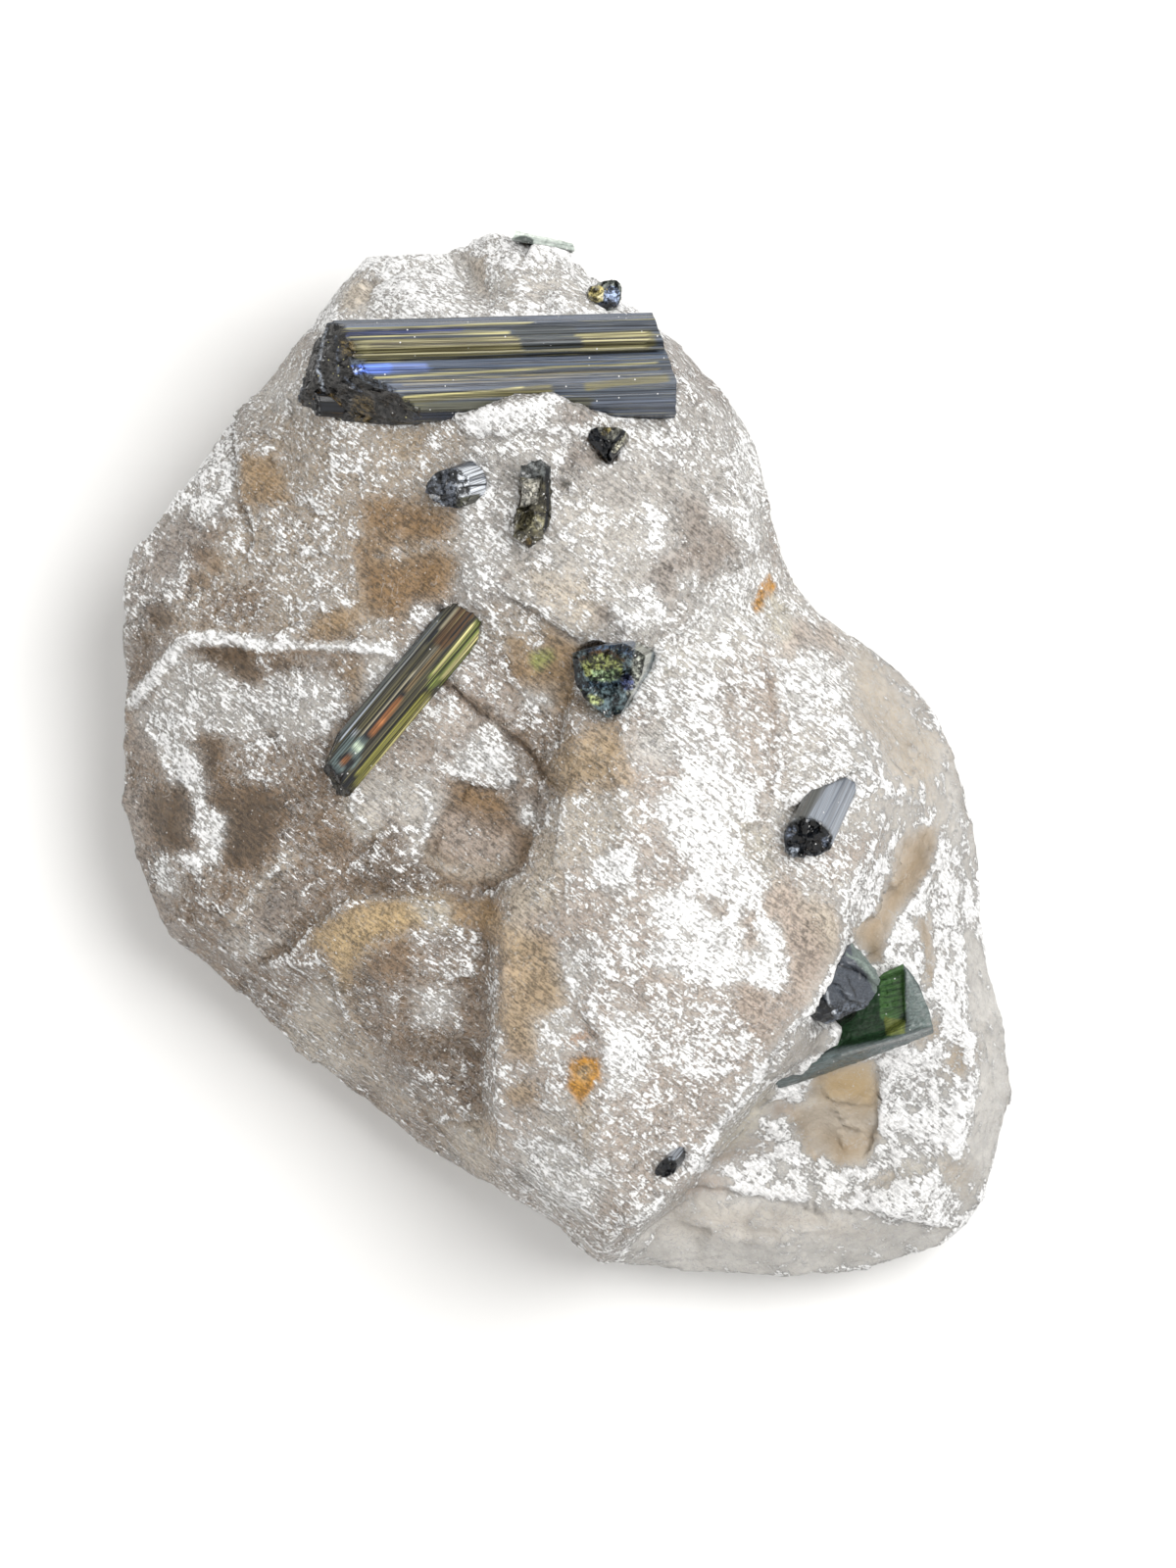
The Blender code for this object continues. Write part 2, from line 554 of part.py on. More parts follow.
def broken_crystal(name, collection, grow=0.0):
    """A crystal given by its corners. grow makes it larger all round."""
    bm = bmesh.new()
    sides = (-grow * MM, grow * MM) if grow else (0.0,)
    steps = [Vector(step) for step in itertools.product(sides, repeat=3)]
    for reading in BROKEN[name]:
        for step in steps:
            bm.verts.new(true_place(*reading) + step)
    hull = bmesh.ops.convex_hull(bm, input=bm.verts[:])
    inner = [part for part in hull["geom_interior"] if isinstance(part, bmesh.types.BMVert)]
    bmesh.ops.delete(bm, geom=inner, context="VERTS")
    bmesh.ops.recalc_face_normals(bm, faces=bm.faces[:])
    return object_from(bm, name, collection)


def large_bar(collection, grow=0.0):
    """The large double crystal that lies along the top, with its left end broken off and
    a small crystal grown into that end."""
    bm = bmesh.new()
    prism(bm, bar_outline(grow), BAR_LENGTH, grow)
    end_cuts(bm, BAR_CUTS, grow)
    bm.transform(placing(BAR_TIP, BAR_AXIS, 0))
    bmesh.ops.triangulate(bm, faces=bm.faces[:])
    bar = object_from(bm, "tourmaline_large_bar", collection)
    width, depth, length = NUB_SIZE
    bm = bmesh.new()
    prism(bm, fluted_outline(width, depth, ROUND_TRIANGLE, grow), length, grow)
    bm.transform(placing(NUB_TIP, NUB_AXIS, 0))
    bmesh.ops.triangulate(bm, faces=bm.faces[:])
    nub = object_from(bm, "side_nub", collection)
    joined = bar.modifiers.new("side nub", "BOOLEAN")
    joined.operation = "UNION"
    joined.object = nub
    baked(bar)
    bpy.data.objects.remove(nub)
    return bar


def seat(lump, cutter):
    """Cuts the crystal's seat out of the lump."""
    cutter.hide_render = True
    cutter.display_type = "WIRE"
    pocket = lump.modifiers.new(cutter.name, "BOOLEAN")
    pocket.operation = "DIFFERENCE"
    pocket.object = cutter


def main():
    for obj in list(bpy.data.objects):
        bpy.data.objects.remove(obj)
    stone = bpy.data.collections.new("tourmalinated_quartz")
    cutters = bpy.data.collections.new("cutters")
    for collection in (stone, cutters):
        bpy.context.scene.collection.children.link(collection)

    smoky = finish_named("smoky quartz", SMOKY_COLOUR, SMOKY_ROUGHNESS)
    black = finish_named("black tourmaline", BLACK_COLOUR, TOURMALINE_ROUGHNESS)
    green = finish_named("green tourmaline", GREEN_COLOUR, TOURMALINE_ROUGHNESS)

    lump = quartz_lump(stone)
    lump.data.materials.clear()
    lump.data.materials.append(smoky)
    bar = large_bar(stone)
    bar.data.materials.append(black)
    seat(lump, large_bar(cutters, GAP))
    for name in [*CRYSTALS, *BROKEN]:
        made = crystal if name in CRYSTALS else broken_crystal
        made(name, stone).data.materials.append(green if name in GREEN else black)
        seat(lump, made(name, cutters, GAP))


main()
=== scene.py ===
"""The looks of the tourmalinated quartz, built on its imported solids.

Places on the upper side are readings (across, up, height) in millimetres, as in the
solids: across and up are measured on a sheet laid at SHEET_HEIGHT, looking straight down
from EYE_HEIGHT. Sizes are in millimetres too, and MM turns them into metres.
"""

import math

import bmesh
import bpy
import numpy as np
from mathutils import Matrix, Vector, noise
from mathutils.bvhtree import BVHTree


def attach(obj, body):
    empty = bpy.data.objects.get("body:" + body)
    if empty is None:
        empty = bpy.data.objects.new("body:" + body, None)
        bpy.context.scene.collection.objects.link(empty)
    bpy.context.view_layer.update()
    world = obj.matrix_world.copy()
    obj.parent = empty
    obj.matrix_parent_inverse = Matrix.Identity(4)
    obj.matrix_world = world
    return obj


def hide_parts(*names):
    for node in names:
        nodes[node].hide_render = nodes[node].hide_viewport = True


MM = 0.001
NOISE_SEED = 5
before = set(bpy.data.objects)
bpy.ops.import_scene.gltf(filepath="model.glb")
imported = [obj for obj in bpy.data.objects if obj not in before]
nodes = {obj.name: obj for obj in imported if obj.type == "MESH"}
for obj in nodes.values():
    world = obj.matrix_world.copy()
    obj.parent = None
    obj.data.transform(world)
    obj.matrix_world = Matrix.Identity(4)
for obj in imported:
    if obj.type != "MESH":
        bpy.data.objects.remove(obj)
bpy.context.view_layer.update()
# Without a seed of its own, the vector noise is different each run
noise.seed_set(NOISE_SEED)

# Where the readings are taken from
EYE_HEIGHT = 840.0
SHEET_HEIGHT = 40.0
EYE_ACROSS = 60.0
EYE_UP = 80.0
MIDDLE_ACROSS = 57.73
MIDDLE_UP = 82.51

# The floor and the light: metres and watts, but millimetres for the gap under the stone
FLOOR_REACH = 2.0
FLOOR_GAP = 0.05
DAYLIGHT = (1.0, 0.99, 0.975)
SKY_STRENGTH = 0.90
WINDOW_PLACE = (0.38, 0.22, 0.90)
WINDOW_SIZE = 0.62
WINDOW_POWER = 8.8

# The materials. Densities of absorption are per metre.
QUARTZ_IOR = 1.54
QUARTZ_CLEARNESS = 0.5
QUARTZ_DEPTH_COLOUR = (0.84, 0.74, 0.62, 1.0)
QUARTZ_DENSITY = 14.0
TOURMALINE_IOR = 1.63
# The colour of the painted glints on the quartz: white flecks that stand for light caught by tiny
# facets
GLINT_COLOUR = (0.92, 0.92, 0.90, 1.0)
DUST_COLOUR = (0.62, 0.62, 0.62, 1.0)
FLOOR_COLOUR = (0.76, 0.76, 0.755, 1.0)

# The quartz surface
SEAT_REACH = 0.56
SEAT_PRESS = 0.12
QUARTZ_VOXEL = 0.42
QUARTZ_TRIANGLES = 185000
FROST_LIFT = 0.035
STREAK_TURN = -38
# How edges of regions wander: the size of the waves and their reach
FINE_WANDER = (2.0, 0.3)
BROAD_WANDER = (6.0, 0.5)
# Chips: their size and how steeply they lean
LARGE_CHIPS = (5.0, 0.16)
SMALL_CHIPS = (1.5, 0.15)
GRAIN_HEIGHT = 0.07
SMOOTH_SHARE = 0.3
# Ridges hold more frost and hollows less
RIDGE_FROST = 2.2
RIDGE_LIMITS = (-0.10, 0.22)
CRUST_START = 0.12

# Colours of the quartz, linear
BEIGE = (0.51, 0.41, 0.30)
PALE = (0.80, 0.75, 0.68)
BROWN = (0.41, 0.28, 0.15)
AMBER = (0.33, 0.205, 0.095)
UMBER = (0.28, 0.19, 0.115)
MURK = (0.17, 0.11, 0.06)
GREY = (0.61, 0.575, 0.53)
SLATE = (0.39, 0.335, 0.29)
TAN = (0.58, 0.44, 0.28)
ROSE = (0.60, 0.50, 0.42)
SAND = (0.74, 0.65, 0.53)
HONEY = (0.68, 0.50, 0.27)
MILK = (0.86, 0.84, 0.80)
CREAM = (0.86, 0.80, 0.66)
RUST = (0.80, 0.38, 0.04)
LIME = (0.36, 0.38, 0.12)


# Shapes seen from above. Each is a function that gives how far inside it readings are, in
# millimetres, below 0 outside.
def spot(across, up, half_length, half_width, turn=0):
    turned = math.radians(turn)

    def inside(sheet):
        east = sheet[:, 0] - across
        north = sheet[:, 1] - up
        along = (east * math.cos(turned) + north * math.sin(turned)) / half_length
        side = (north * math.cos(turned) - east * math.sin(turned)) / half_width
        return (1 - np.hypot(along, side)) * min(half_length, half_width)
    return inside


def to_segment(sheet, start, end):
    """How far the readings are from the straight line between two of them."""
    along = np.array(end) - np.array(start)
    offset = sheet - np.array(start)
    share = np.clip(offset @ along / (along @ along), 0, 1)
    away = offset - share[:, None] * along
    return np.hypot(away[:, 0], away[:, 1])


def area(*corners):
    def inside(sheet):
        x, y = sheet.T
        within = np.zeros(len(sheet), dtype=bool)
        nearest = np.full(len(sheet), np.inf)
        for (x0, y0), (x1, y1) in zip(corners, corners[1:] + corners[:1]):
            nearest = np.minimum(nearest, to_segment(sheet, (x0, y0), (x1, y1)))
            if y0 != y1:
                reached = x < (x1 - x0) * (y - y0) / (y1 - y0) + x0
                within ^= ((y0 > y) != (y1 > y)) & reached
        return np.where(within, nearest, -nearest)
    return inside


def stripe(half_width, *points):
    def inside(sheet):
        nearest = np.full(len(sheet), np.inf)
        for start, end in zip(points, points[1:]):
            nearest = np.minimum(nearest, to_segment(sheet, start, end))
        return half_width - nearest
    return inside


# The quartz by region: its shape, its colour, and how thick the frost lies on it, from 0,
# clear, to 1. Later regions lie over earlier ones.
REGIONS = [
    # The cap above the large crystal
    (area((31, 126), (34, 131), (38, 135), (47, 136), (56, 136.5), (64, 130), (68, 126)),
     MILK, 0.84),
    (area((34, 128), (38, 133.5), (45, 134), (47, 131), (44, 128.5)), MILK, 0.84),
    (stripe(0.9, (36, 127.9), (42, 128.4), (50, 128.6), (60, 128.8)), MILK, 0.72),
    (area((49.5, 128.6), (51, 133), (56, 132.5), (60, 130), (61, 128.6)), PALE, 0.60),
    (area((46.8, 134), (49.6, 133.6), (49.8, 129.6), (48.6, 129.4)), BEIGE, 0.15),
    (stripe(0.7, (46.4, 134), (47.8, 131.6), (48.7, 129.4)), MILK, 0.66),
    (spot(36.5, 130.0, 2.2, 1.6, 50), SAND, 0.2),
    # The brown side below the large crystal's left end
    (area((12, 96), (12, 103), (20, 112.5), (27, 120.5), (31, 125), (34, 118), (42, 117), (50, 117),
          (47, 110), (49, 104), (46, 99.5), (40, 94), (26, 95), (19, 95)), BEIGE, 0.52),
    (area((12, 96), (12, 103), (20, 112.5), (27, 120.5), (24.2, 114), (24.4, 109), (20, 101),
          (17, 96)), SLATE, 0.54),
    (area((16.5, 108.5), (23.5, 117), (24.2, 109.5), (19.5, 105.8)), GREY, 0.80),
    (area((14, 101), (19, 108.5), (20.5, 106), (17, 101)), SLATE, 0.34),
    (area((24.4, 113.6), (28.8, 113.2), (29.6, 108.6), (24.9, 108.2)), BROWN, 0.16),
    (area((25, 120), (31, 122.5), (32, 117), (27.5, 116)), PALE, 0.56),
    (area((27, 118.5), (33, 116.6), (33, 112), (28.5, 112.6)), BEIGE, 0.5),
    (area((32.6, 117.8), (38.5, 116.4), (39.5, 110.4), (34, 112)), BEIGE, 0.64),
    (area((38.9, 117), (44.8, 116.7), (43.6, 114.2), (42, 112.4), (39.6, 113.9), (38.4, 114.8)),
     TAN, 0.50),
    (area((44.8, 116.6), (50, 117), (50, 113.6), (45.6, 112.8)), BEIGE, 0.56),
    (area((36.5, 108.6), (39, 109.4), (44, 108.8), (46.2, 106.6), (44.8, 104.4), (37.6, 105.4)),
     AMBER, 0.2),
    (area((36, 104), (38, 105.2), (44, 104.2), (46.2, 102.2), (46.3, 99.4), (43.8, 97.6), (40.4, 96.6),
          (36.6, 98)), AMBER, 0.04),
    (area((40.3, 96.2), (42, 97.2), (42, 95.9), (43.0, 95.4)), AMBER, 0.1),
    (area((42.4, 98.3), (44.6, 97.7), (43.4, 95.5), (41.7, 96.6)), GREY, 0.66),
    (area((31.8, 95), (35.8, 94.8), (36.4, 97.2), (34.6, 98.8), (32.2, 97.8)), BROWN, 0.12),
    (area((45.6, 108.6), (48.6, 108.4), (48.6, 106.6), (46.2, 106.4)), AMBER, 0.02),
    (area((49.8, 107.4), (51.3, 106.8), (50.6, 104.3), (49.9, 104.4)), AMBER, 0.02),
    (area((38, 103.6), (43, 104.6), (45.6, 104.6), (41, 102.8)), BEIGE, 0.5),
    (area((27, 101), (35, 106.6), (36, 98), (30, 96.4)), BEIGE, 0.60),
    (area((19.2, 104.1), (21.4, 104.3), (22.9, 102.7), (22.5, 101.7), (19.6, 102.6)), UMBER, 0.0),
    (spot(21.8, 105.7, 0.75, 0.5, 0), UMBER, 0.0),
    (area((19.3, 101.6), (21.9, 100.9), (21.4, 100.1), (19.3, 100.6)), UMBER, 0.05),
    (area((15.4, 98.6), (17.0, 98.4), (18.2, 96.8), (17.8, 96.0), (15.4, 96.4)), MURK, 0.0),
    (area((13, 96), (16.4, 96), (15, 91), (13.4, 89)), MURK, 0.30),
    (area((21, 99.6), (27, 101), (27.4, 96), (20, 96.4)), UMBER, 0.42),
    # The left side below the white vein
    (area((12, 89), (18.6, 94.6), (36, 94.2), (40.5, 93.4), (36, 86), (33, 82), (36, 78), (36.4, 69),
          (30, 63), (26, 60.5), (30, 52), (20, 58), (12, 72)), UMBER, 0.40),
    (area((14.6, 87), (18.5, 93.8), (21, 92), (26.2, 90), (33, 92.8), (36, 89), (33.5, 85), (25, 83.5),
          (21.5, 85.5), (16, 84)), GREY, 0.70),
    (area((21.0, 93.9), (25.6, 94.0), (26.1, 90.6), (23.6, 91), (21.2, 92.4)), MURK, 0.0),
    (area((28.3, 92.7), (29.4, 92.3), (29.3, 91.4), (28.4, 91.6)), MURK, 0.0),
    (area((29.8, 92), (34, 92.2), (33.6, 91.4), (31, 91.2)), MURK, 0.2),
    (area((35.4, 92.5), (37.6, 92.4), (37.4, 89.6), (35.8, 87.6)), BROWN, 0.22),
    (area((37.7, 93), (40.3, 92.8), (40.2, 91.2), (36.8, 88)), MILK, 0.62),
    (spot(27.9, 85.2, 0.45, 0.4), MURK, 0.0),
    (area((23, 83.4), (33.6, 83.6), (30, 79.9), (24, 80.4)), UMBER, 0.52),
    (area((20.3, 85), (22.6, 85), (22.8, 81), (23.6, 79.6), (21.2, 79.6), (20.3, 83)), MURK, 0.1),
    (area((12.6, 84), (14.8, 87), (16.4, 83.8), (15.2, 82)), SLATE, 0.12),
    (area((14.4, 86.4), (20.2, 83), (20.8, 80), (20.8, 77), (23.1, 76.4), (23, 75), (22.5, 72),
          (20, 71), (18.6, 72.2), (20.3, 73.4), (19.2, 75), (19.8, 77.4), (17.4, 80.4), (16, 83.6)),
     MILK, 0.93),
    (area((16.2, 71.8), (17.2, 71.8), (17.4, 70.6), (18.3, 69.8), (17.8, 68.9), (16.6, 69.2)),
     MILK, 0.93),
    (area((16.4, 80), (18.8, 79.6), (19.6, 77), (19, 74.8), (20, 73.6), (20, 72.7), (16.5, 73.4),
          (14.8, 75), (14, 78), (15.2, 79.4)), MURK, 0.03),
    (area((20.9, 78.6), (23.6, 79.4), (29, 79.6), (29.8, 76.8), (28, 75), (27.4, 72.8), (26, 70.8),
          (23.8, 70.2), (22.8, 72), (22.9, 74.2), (23.2, 76.2)), MURK, 0.05),
    (area((29, 80), (33, 82), (35.6, 79.6), (35.6, 76), (31, 74), (29.4, 76)), UMBER, 0.36),
    (area((32, 74.4), (35, 75), (35.8, 74), (33, 72.2), (32.3, 73)), MURK, 0.06),
    (area((21.4, 71), (30, 72), (36, 73), (38, 70), (33, 66.4), (29, 62.6), (22, 62)), UMBER, 0.40),
    (stripe(0.5, (24, 65.6), (26.4, 69), (29.4, 72.4)), SAND, 0.5),
    (area((23.6, 64.6), (25.6, 67), (30.2, 69.6), (31.8, 70.4), (29.6, 67), (27, 64.8)), SLATE, 0.25),
    (area((23, 64), (29, 64.6), (29.6, 63), (26, 61.6)), PALE, 0.42),
    (area((12, 80), (14.6, 80), (15.6, 70), (19, 64), (16, 64), (12, 72)), SLATE, 0.22),
    # The scoop to the right of the slim crystal
    (area((36, 80), (47, 93), (52, 98), (58.5, 95), (58, 90), (61, 87), (57.5, 80), (54.5, 72),
          (52, 69.5), (47, 68), (36.5, 68.4), (35.6, 75)), UMBER, 0.50),
    (area((51.5, 97.6), (56, 96.8), (59.8, 94.3), (58.5, 93), (58.3, 90), (58.8, 88), (56, 87.5),
          (52.6, 90.4), (51.4, 93)), BROWN, 0.10),
    (area((50.2, 98), (55.4, 97), (55.6, 93.6), (52, 92.4), (49.6, 94.6)), BEIGE, 0.58),
    (area((51.6, 94.6), (53.2, 94.4), (53.4, 92.8), (52.2, 92.6)), BROWN, 0.05),
    (area((53.6, 89.8), (56, 89.4), (56.2, 88), (53.8, 88)), MILK, 0.72),
    (area((45, 92), (50, 93), (53, 88), (52, 84), (48, 84), (42, 86)), ROSE, 0.56),
    (stripe(0.6, (45.4, 91), (47.8, 88.6), (51, 86), (54, 83.2), (56.6, 80.4)), MURK, 0.1),
    (area((38.6, 84), (47, 86.4), (48.6, 79.8), (44, 79.6), (38, 81)), ROSE, 0.50),
    (area((46, 80.8), (47.2, 83), (48.6, 85), (50.2, 85.5), (51, 84), (52, 83), (52, 81.4),
          (52.7, 80.4), (51.8, 79.8), (49, 79.7), (48, 80.5)), MILK, 0.85),
    (area((35.7, 79.4), (37.4, 80.8), (40, 81.2), (44, 80.6), (46, 79), (44.8, 76.6), (44, 75.6),
          (43.6, 73.8), (42.4, 72), (41.8, 73), (40.6, 75.2), (39.4, 76), (37.6, 75.2), (36.2, 76.3)),
     PALE, 0.44),
    (area((46, 80.4), (50, 79.4), (53, 77.4), (54.6, 74.6), (54, 72), (52, 70.4), (48, 69.6),
          (45, 69.6), (43, 72), (44, 75), (44.8, 76.6), (46.2, 78.2)), UMBER, 0.12),
    (area((46.6, 80.2), (50, 79.2), (51.4, 77.6), (49, 77.4), (47, 78.2)), AMBER, 0.04),
    (area((44.8, 76.8), (47.6, 77), (52, 74), (52, 72), (47.6, 71.4), (45, 73)), ROSE, 0.26),
    (area((52, 79.6), (55.6, 79), (55.4, 76.6), (53.2, 77.4)), SLATE, 0.3),
    (spot(53.8, 76.6, 0.8, 0.7, -60), MILK, 0.9),
    (stripe(0.3, (43.6, 80), (43.9, 77.4), (43.4, 75), (42, 72.6)), MILK, 0.75),
    (stripe(0.35, (36, 79.6), (35.8, 77.2), (36.4, 76), (38, 75)), CREAM, 0.7),
    (stripe(0.3, (42.6, 73), (45, 71.2), (48, 71), (51.6, 71.6)), SAND, 0.5),
    (area((36.4, 74), (38, 75), (39.6, 75.4), (40.6, 72.6), (45, 69.4), (50, 69.2), (54, 71),
          (52, 69.6), (47, 68.2), (40, 68.6), (36, 68.6)), MURK, 0.42),
    # The lump at the lower left
    (area((26, 62), (31, 64.6), (36, 68.2), (44, 68.2), (52, 69.6), (52, 60), (50, 44), (44, 42),
          (34, 50), (26, 58)), UMBER, 0.42),
    (area((27, 62.8), (31, 63.8), (33, 62), (33, 56), (29, 55), (25, 59)), UMBER, 0.46),
    (area((31.2, 64.4), (33.5, 66.2), (36.8, 68.2), (45, 68), (46, 67), (46.3, 65), (42, 64.8),
          (40, 64.2), (37.6, 63.6), (36.4, 61), (35, 59), (33.6, 61), (32.4, 63)), HONEY, 0.16),
    (area((42.6, 67.8), (46.2, 67.6), (46.4, 64.4), (43.4, 65.4)), CREAM, 0.46),
    (area((46, 67.9), (51, 68.2), (52.2, 66.4), (52.2, 63.6), (50.4, 64), (48.2, 65.4), (46.2, 66)),
     BROWN, 0.05),
    (area((42, 65), (49, 64.6), (49, 60.4), (45, 59.4), (42.6, 61)), UMBER, 0.60),
    (area((36.4, 61), (41, 64), (42.6, 62), (40, 59.6)), UMBER, 0.16),
    (area((42.6, 59.2), (46.4, 58.6), (46, 55.6), (43, 55.4)), GREY, 0.64),
    (area((38, 52), (49.6, 52.6), (49.8, 47), (42, 47.6)), UMBER, 0.50),
    (area((39, 54), (46, 54.4), (49, 53.6), (49.4, 51.6), (44, 51.4), (39.6, 51.6)), MURK, 0.3),
    (area((30, 58), (34, 60), (36, 54), (38.6, 50), (34, 50), (29, 54)), SAND, 0.48),
    (area((34, 58), (36, 58), (39, 51), (43.6, 47), (40, 46.6), (34.6, 53)), BEIGE, 0.40),
    (area((44, 45.6), (49.6, 45.8), (50.4, 43), (52, 38), (48, 40.4), (45.6, 42.6)), SAND, 0.36),
    (area((49.4, 45), (51.4, 44.8), (52.6, 40), (51.6, 39.6)), TAN, 0.1),
    # The high block in the middle
    (area((52, 69.6), (55, 72), (57.6, 79), (60.5, 87), (64.4, 88), (67, 92), (76, 92), (79, 86),
          (80, 76), (86, 69), (86.4, 64), (80, 54), (72, 43), (66, 36), (60, 31), (51, 38), (50, 46),
          (50, 58)), ROSE, 0.58),
    (area((56.4, 82), (58.6, 85), (63, 87), (64.2, 84), (64.6, 80), (61, 79.4), (57, 78)), TAN, 0.22),
    (area((55.6, 76), (58, 78.6), (61, 79.6), (64, 79.6), (65, 76), (61, 72), (57, 72)), SAND, 0.54),
    (area((52, 69), (54, 71), (55.6, 75), (57.8, 73), (57, 66), (54, 66)), SAND, 0.34),
    (area((51, 66), (54, 66.4), (57.6, 63.4), (58.6, 60), (57, 56), (54.4, 52), (51.8, 52),
          (50.8, 56), (51, 60)), TAN, 0.05),
    (area((52.2, 68.8), (54.4, 68.8), (54.2, 65), (52.2, 66)), SAND, 0.14),
    (area((54, 66), (60, 69), (61, 62), (58.6, 60), (57.6, 63.6)), ROSE, 0.46),
    (spot(53.4, 48.4, 1.4, 1.2, 20), TAN, 0.06),
    (area((54.6, 46), (58, 48), (58.4, 44.6), (56.4, 43)), PALE, 0.50),
    (area((52.4, 43.6), (57, 43.6), (62, 40), (60, 36), (56, 37), (53, 40)), MILK, 0.68),
    (area((58.6, 46.8), (60.8, 48.8), (61, 45), (60, 42)), SAND, 0.30),
    (area((67.2, 78), (70.2, 81), (74, 81.4), (77.2, 80), (77.4, 77.4), (75.6, 75.6), (76, 73),
          (79.2, 70.2), (78.6, 67.6), (80, 65.6), (80.7, 63.4), (80.3, 61), (81.4, 60), (80, 58.6),
          (77, 59.6), (73.6, 59.2), (71, 60), (66, 61.8), (67, 64.4), (66.6, 68.4), (70.4, 70.6),
          (69.4, 73), (67.6, 75.6)), MILK, 0.95),
    (area((66, 86), (69.6, 85.6), (70, 83.4), (68, 82), (65, 82.4), (64.4, 85)), MILK, 0.30),
    (area((64, 92), (73, 91), (74, 86), (77, 81), (70, 81), (66, 88)), GREY, 0.80),
    (area((60.2, 71.6), (62.2, 73), (64.4, 73), (64.4, 70), (62, 69.4)), MILK, 0.88),
    (area((62.4, 57), (64.8, 56), (66.4, 52.6), (65, 49.4), (62.6, 48.6), (62, 52)), MILK, 0.86),
    (area((57, 62.4), (60.4, 63.8), (60.6, 59.6), (57.8, 58.4)), MILK, 0.74),
    (area((54.6, 56), (58, 57.4), (58.4, 53), (55, 52.4)), PALE, 0.74),
    (area((60, 62), (66, 66), (66, 60), (62, 56)), ROSE, 0.66),
    (area((68, 58), (75, 57), (77.5, 54), (74, 49.5), (69, 50.5), (66.5, 54)), ROSE, 0.76),
    (area((77, 59), (79.6, 58), (80.6, 60.4), (82.6, 61), (83.8, 59), (81.6, 56), (78.6, 52.6),
          (76, 55), (74.4, 57)), ROSE, 0.30),
    (area((75.6, 58.8), (77.4, 58.9), (78, 56.4), (76.2, 56)), ROSE, 0.1),
    (area((78.6, 70.8), (81.4, 69.8), (83.4, 66), (85.4, 62.6), (84, 59), (81.4, 59.8), (80.6, 63.4),
          (79.6, 65.4), (78.4, 67.6)), ROSE, 0.04),
    (area((81.6, 69.8), (84.4, 67.8), (86, 66.4), (86, 63), (85, 61.8), (83.2, 65.6)), SAND, 0.14),
    (spot(78.6, 67.4, 0.7, 0.9, 0), ROSE, 0.05), (spot(76.8, 66.4, 0.3, 0.3), ROSE, 0.0),
    (area((75.9, 66.8), (76.8, 66.6), (77.4, 63), (75.6, 62.8)), ROSE, 0.12),
    (area((72.4, 68.4), (74.6, 67.6), (74.4, 66.2), (73, 66.6)), ROSE, 0.2),
    (spot(71.6, 68.6, 0.7, 0.5, -30), ROSE, 0.2), (spot(75.8, 58.8, 0.9, 0.5, 10), ROSE, 0.12),
    (area((75.4, 77), (78.6, 75), (79, 70.6), (77, 72)), CREAM, 0.6),
    # The grey flap and the white valley
    (area((50, 117), (60, 117), (69, 119), (78, 118), (78.6, 108), (77, 104), (72, 98), (66, 95),
          (60, 93.6), (56, 96.6), (50, 100), (47, 104), (47, 112)), GREY, 0.52),
    (area((47.4, 116), (62, 116.6), (60, 112), (54, 113), (48, 112.6)), GREY, 0.66),
    (area((46.8, 117.2), (50.5, 118.4), (53.6, 119.4), (55.8, 119.2), (55.8, 117.4), (52, 116.6),
          (48.6, 116.2)), MILK, 0.95),
    (area((56, 118.4), (57.6, 119.4), (60.6, 118.2), (62.6, 116.8), (58, 116.2)), SLATE, 0.30),
    (stripe(0.45, (55.6, 119.2), (57, 119.9), (60, 119.2), (62, 118.1), (64, 117.4)), MILK, 0.95),
    (area((47, 111), (53.4, 111), (53.6, 105), (51, 101), (46.6, 99), (47.6, 104)), GREY, 0.68),
    (area((56, 111), (60, 110), (66, 108), (66, 101), (60, 97), (54, 99), (56, 104)), PALE, 0.60),
    (area((53.6, 102), (60, 101), (62, 97), (59.6, 94.6), (55, 98.6)), SAND, 0.40),
    (area((58, 114.6), (62, 115), (60.6, 112.2), (58, 112)), SLATE, 0.26),
    (area((60, 111.6), (66.6, 112.6), (71, 111), (72, 107), (68, 104.6), (65, 108), (61, 108.6)),
     GREY, 0.34),
    (area((62, 116.6), (72, 117), (75, 112), (67, 112.6), (61.6, 113.6)), GREY, 0.62),
    (area((70, 109), (71.9, 109), (71.8, 104.6), (69.6, 105.4)), SLATE, 0.05),
    (area((65.6, 108.6), (67.8, 108), (68, 103.4), (66, 103.2)), MILK, 0.84),
    (area((68, 103.4), (74, 107.6), (75.6, 104), (73, 101), (68.6, 97.4), (65, 100)), SLATE, 0.20),
    (area((65, 99.6), (66.6, 100.6), (68.4, 97), (66, 95.4), (62.4, 95.6), (62.4, 98)), MILK, 0.82),
    (area((68.6, 101), (69.8, 101.4), (69.6, 97.6), (68.8, 97.8)), GREY, 0.66),
    (stripe(0.45, (70.6, 101), (71, 99)), MILK, 0.95),
    (area((60.6, 98), (62.2, 98.6), (62.4, 96.2), (60.6, 96.4)), SLATE, 0.12),
    (area((72, 108.6), (77, 109), (78, 105), (76, 102), (72.6, 99.6), (71, 97), (67, 94.6), (66, 92),
          (72, 90.4), (77, 97), (80, 101)), MILK, 0.70),
    (area((76, 118), (78, 112), (77.4, 108), (74.6, 112)), MILK, 0.80),
    (stripe(0.9, (68, 92.6), (73, 93.4), (77.6, 97)), CREAM, 0.86),
    (area((64, 92.6), (67.6, 94), (67, 91), (65, 90)), CREAM, 0.7),
    # The right mass
    (area((77, 98), (80, 101.6), (88, 95), (95.6, 87), (99.6, 75), (96, 70), (88, 67), (82, 69),
          (78.4, 76), (77, 86), (74, 91)), PALE, 0.66),
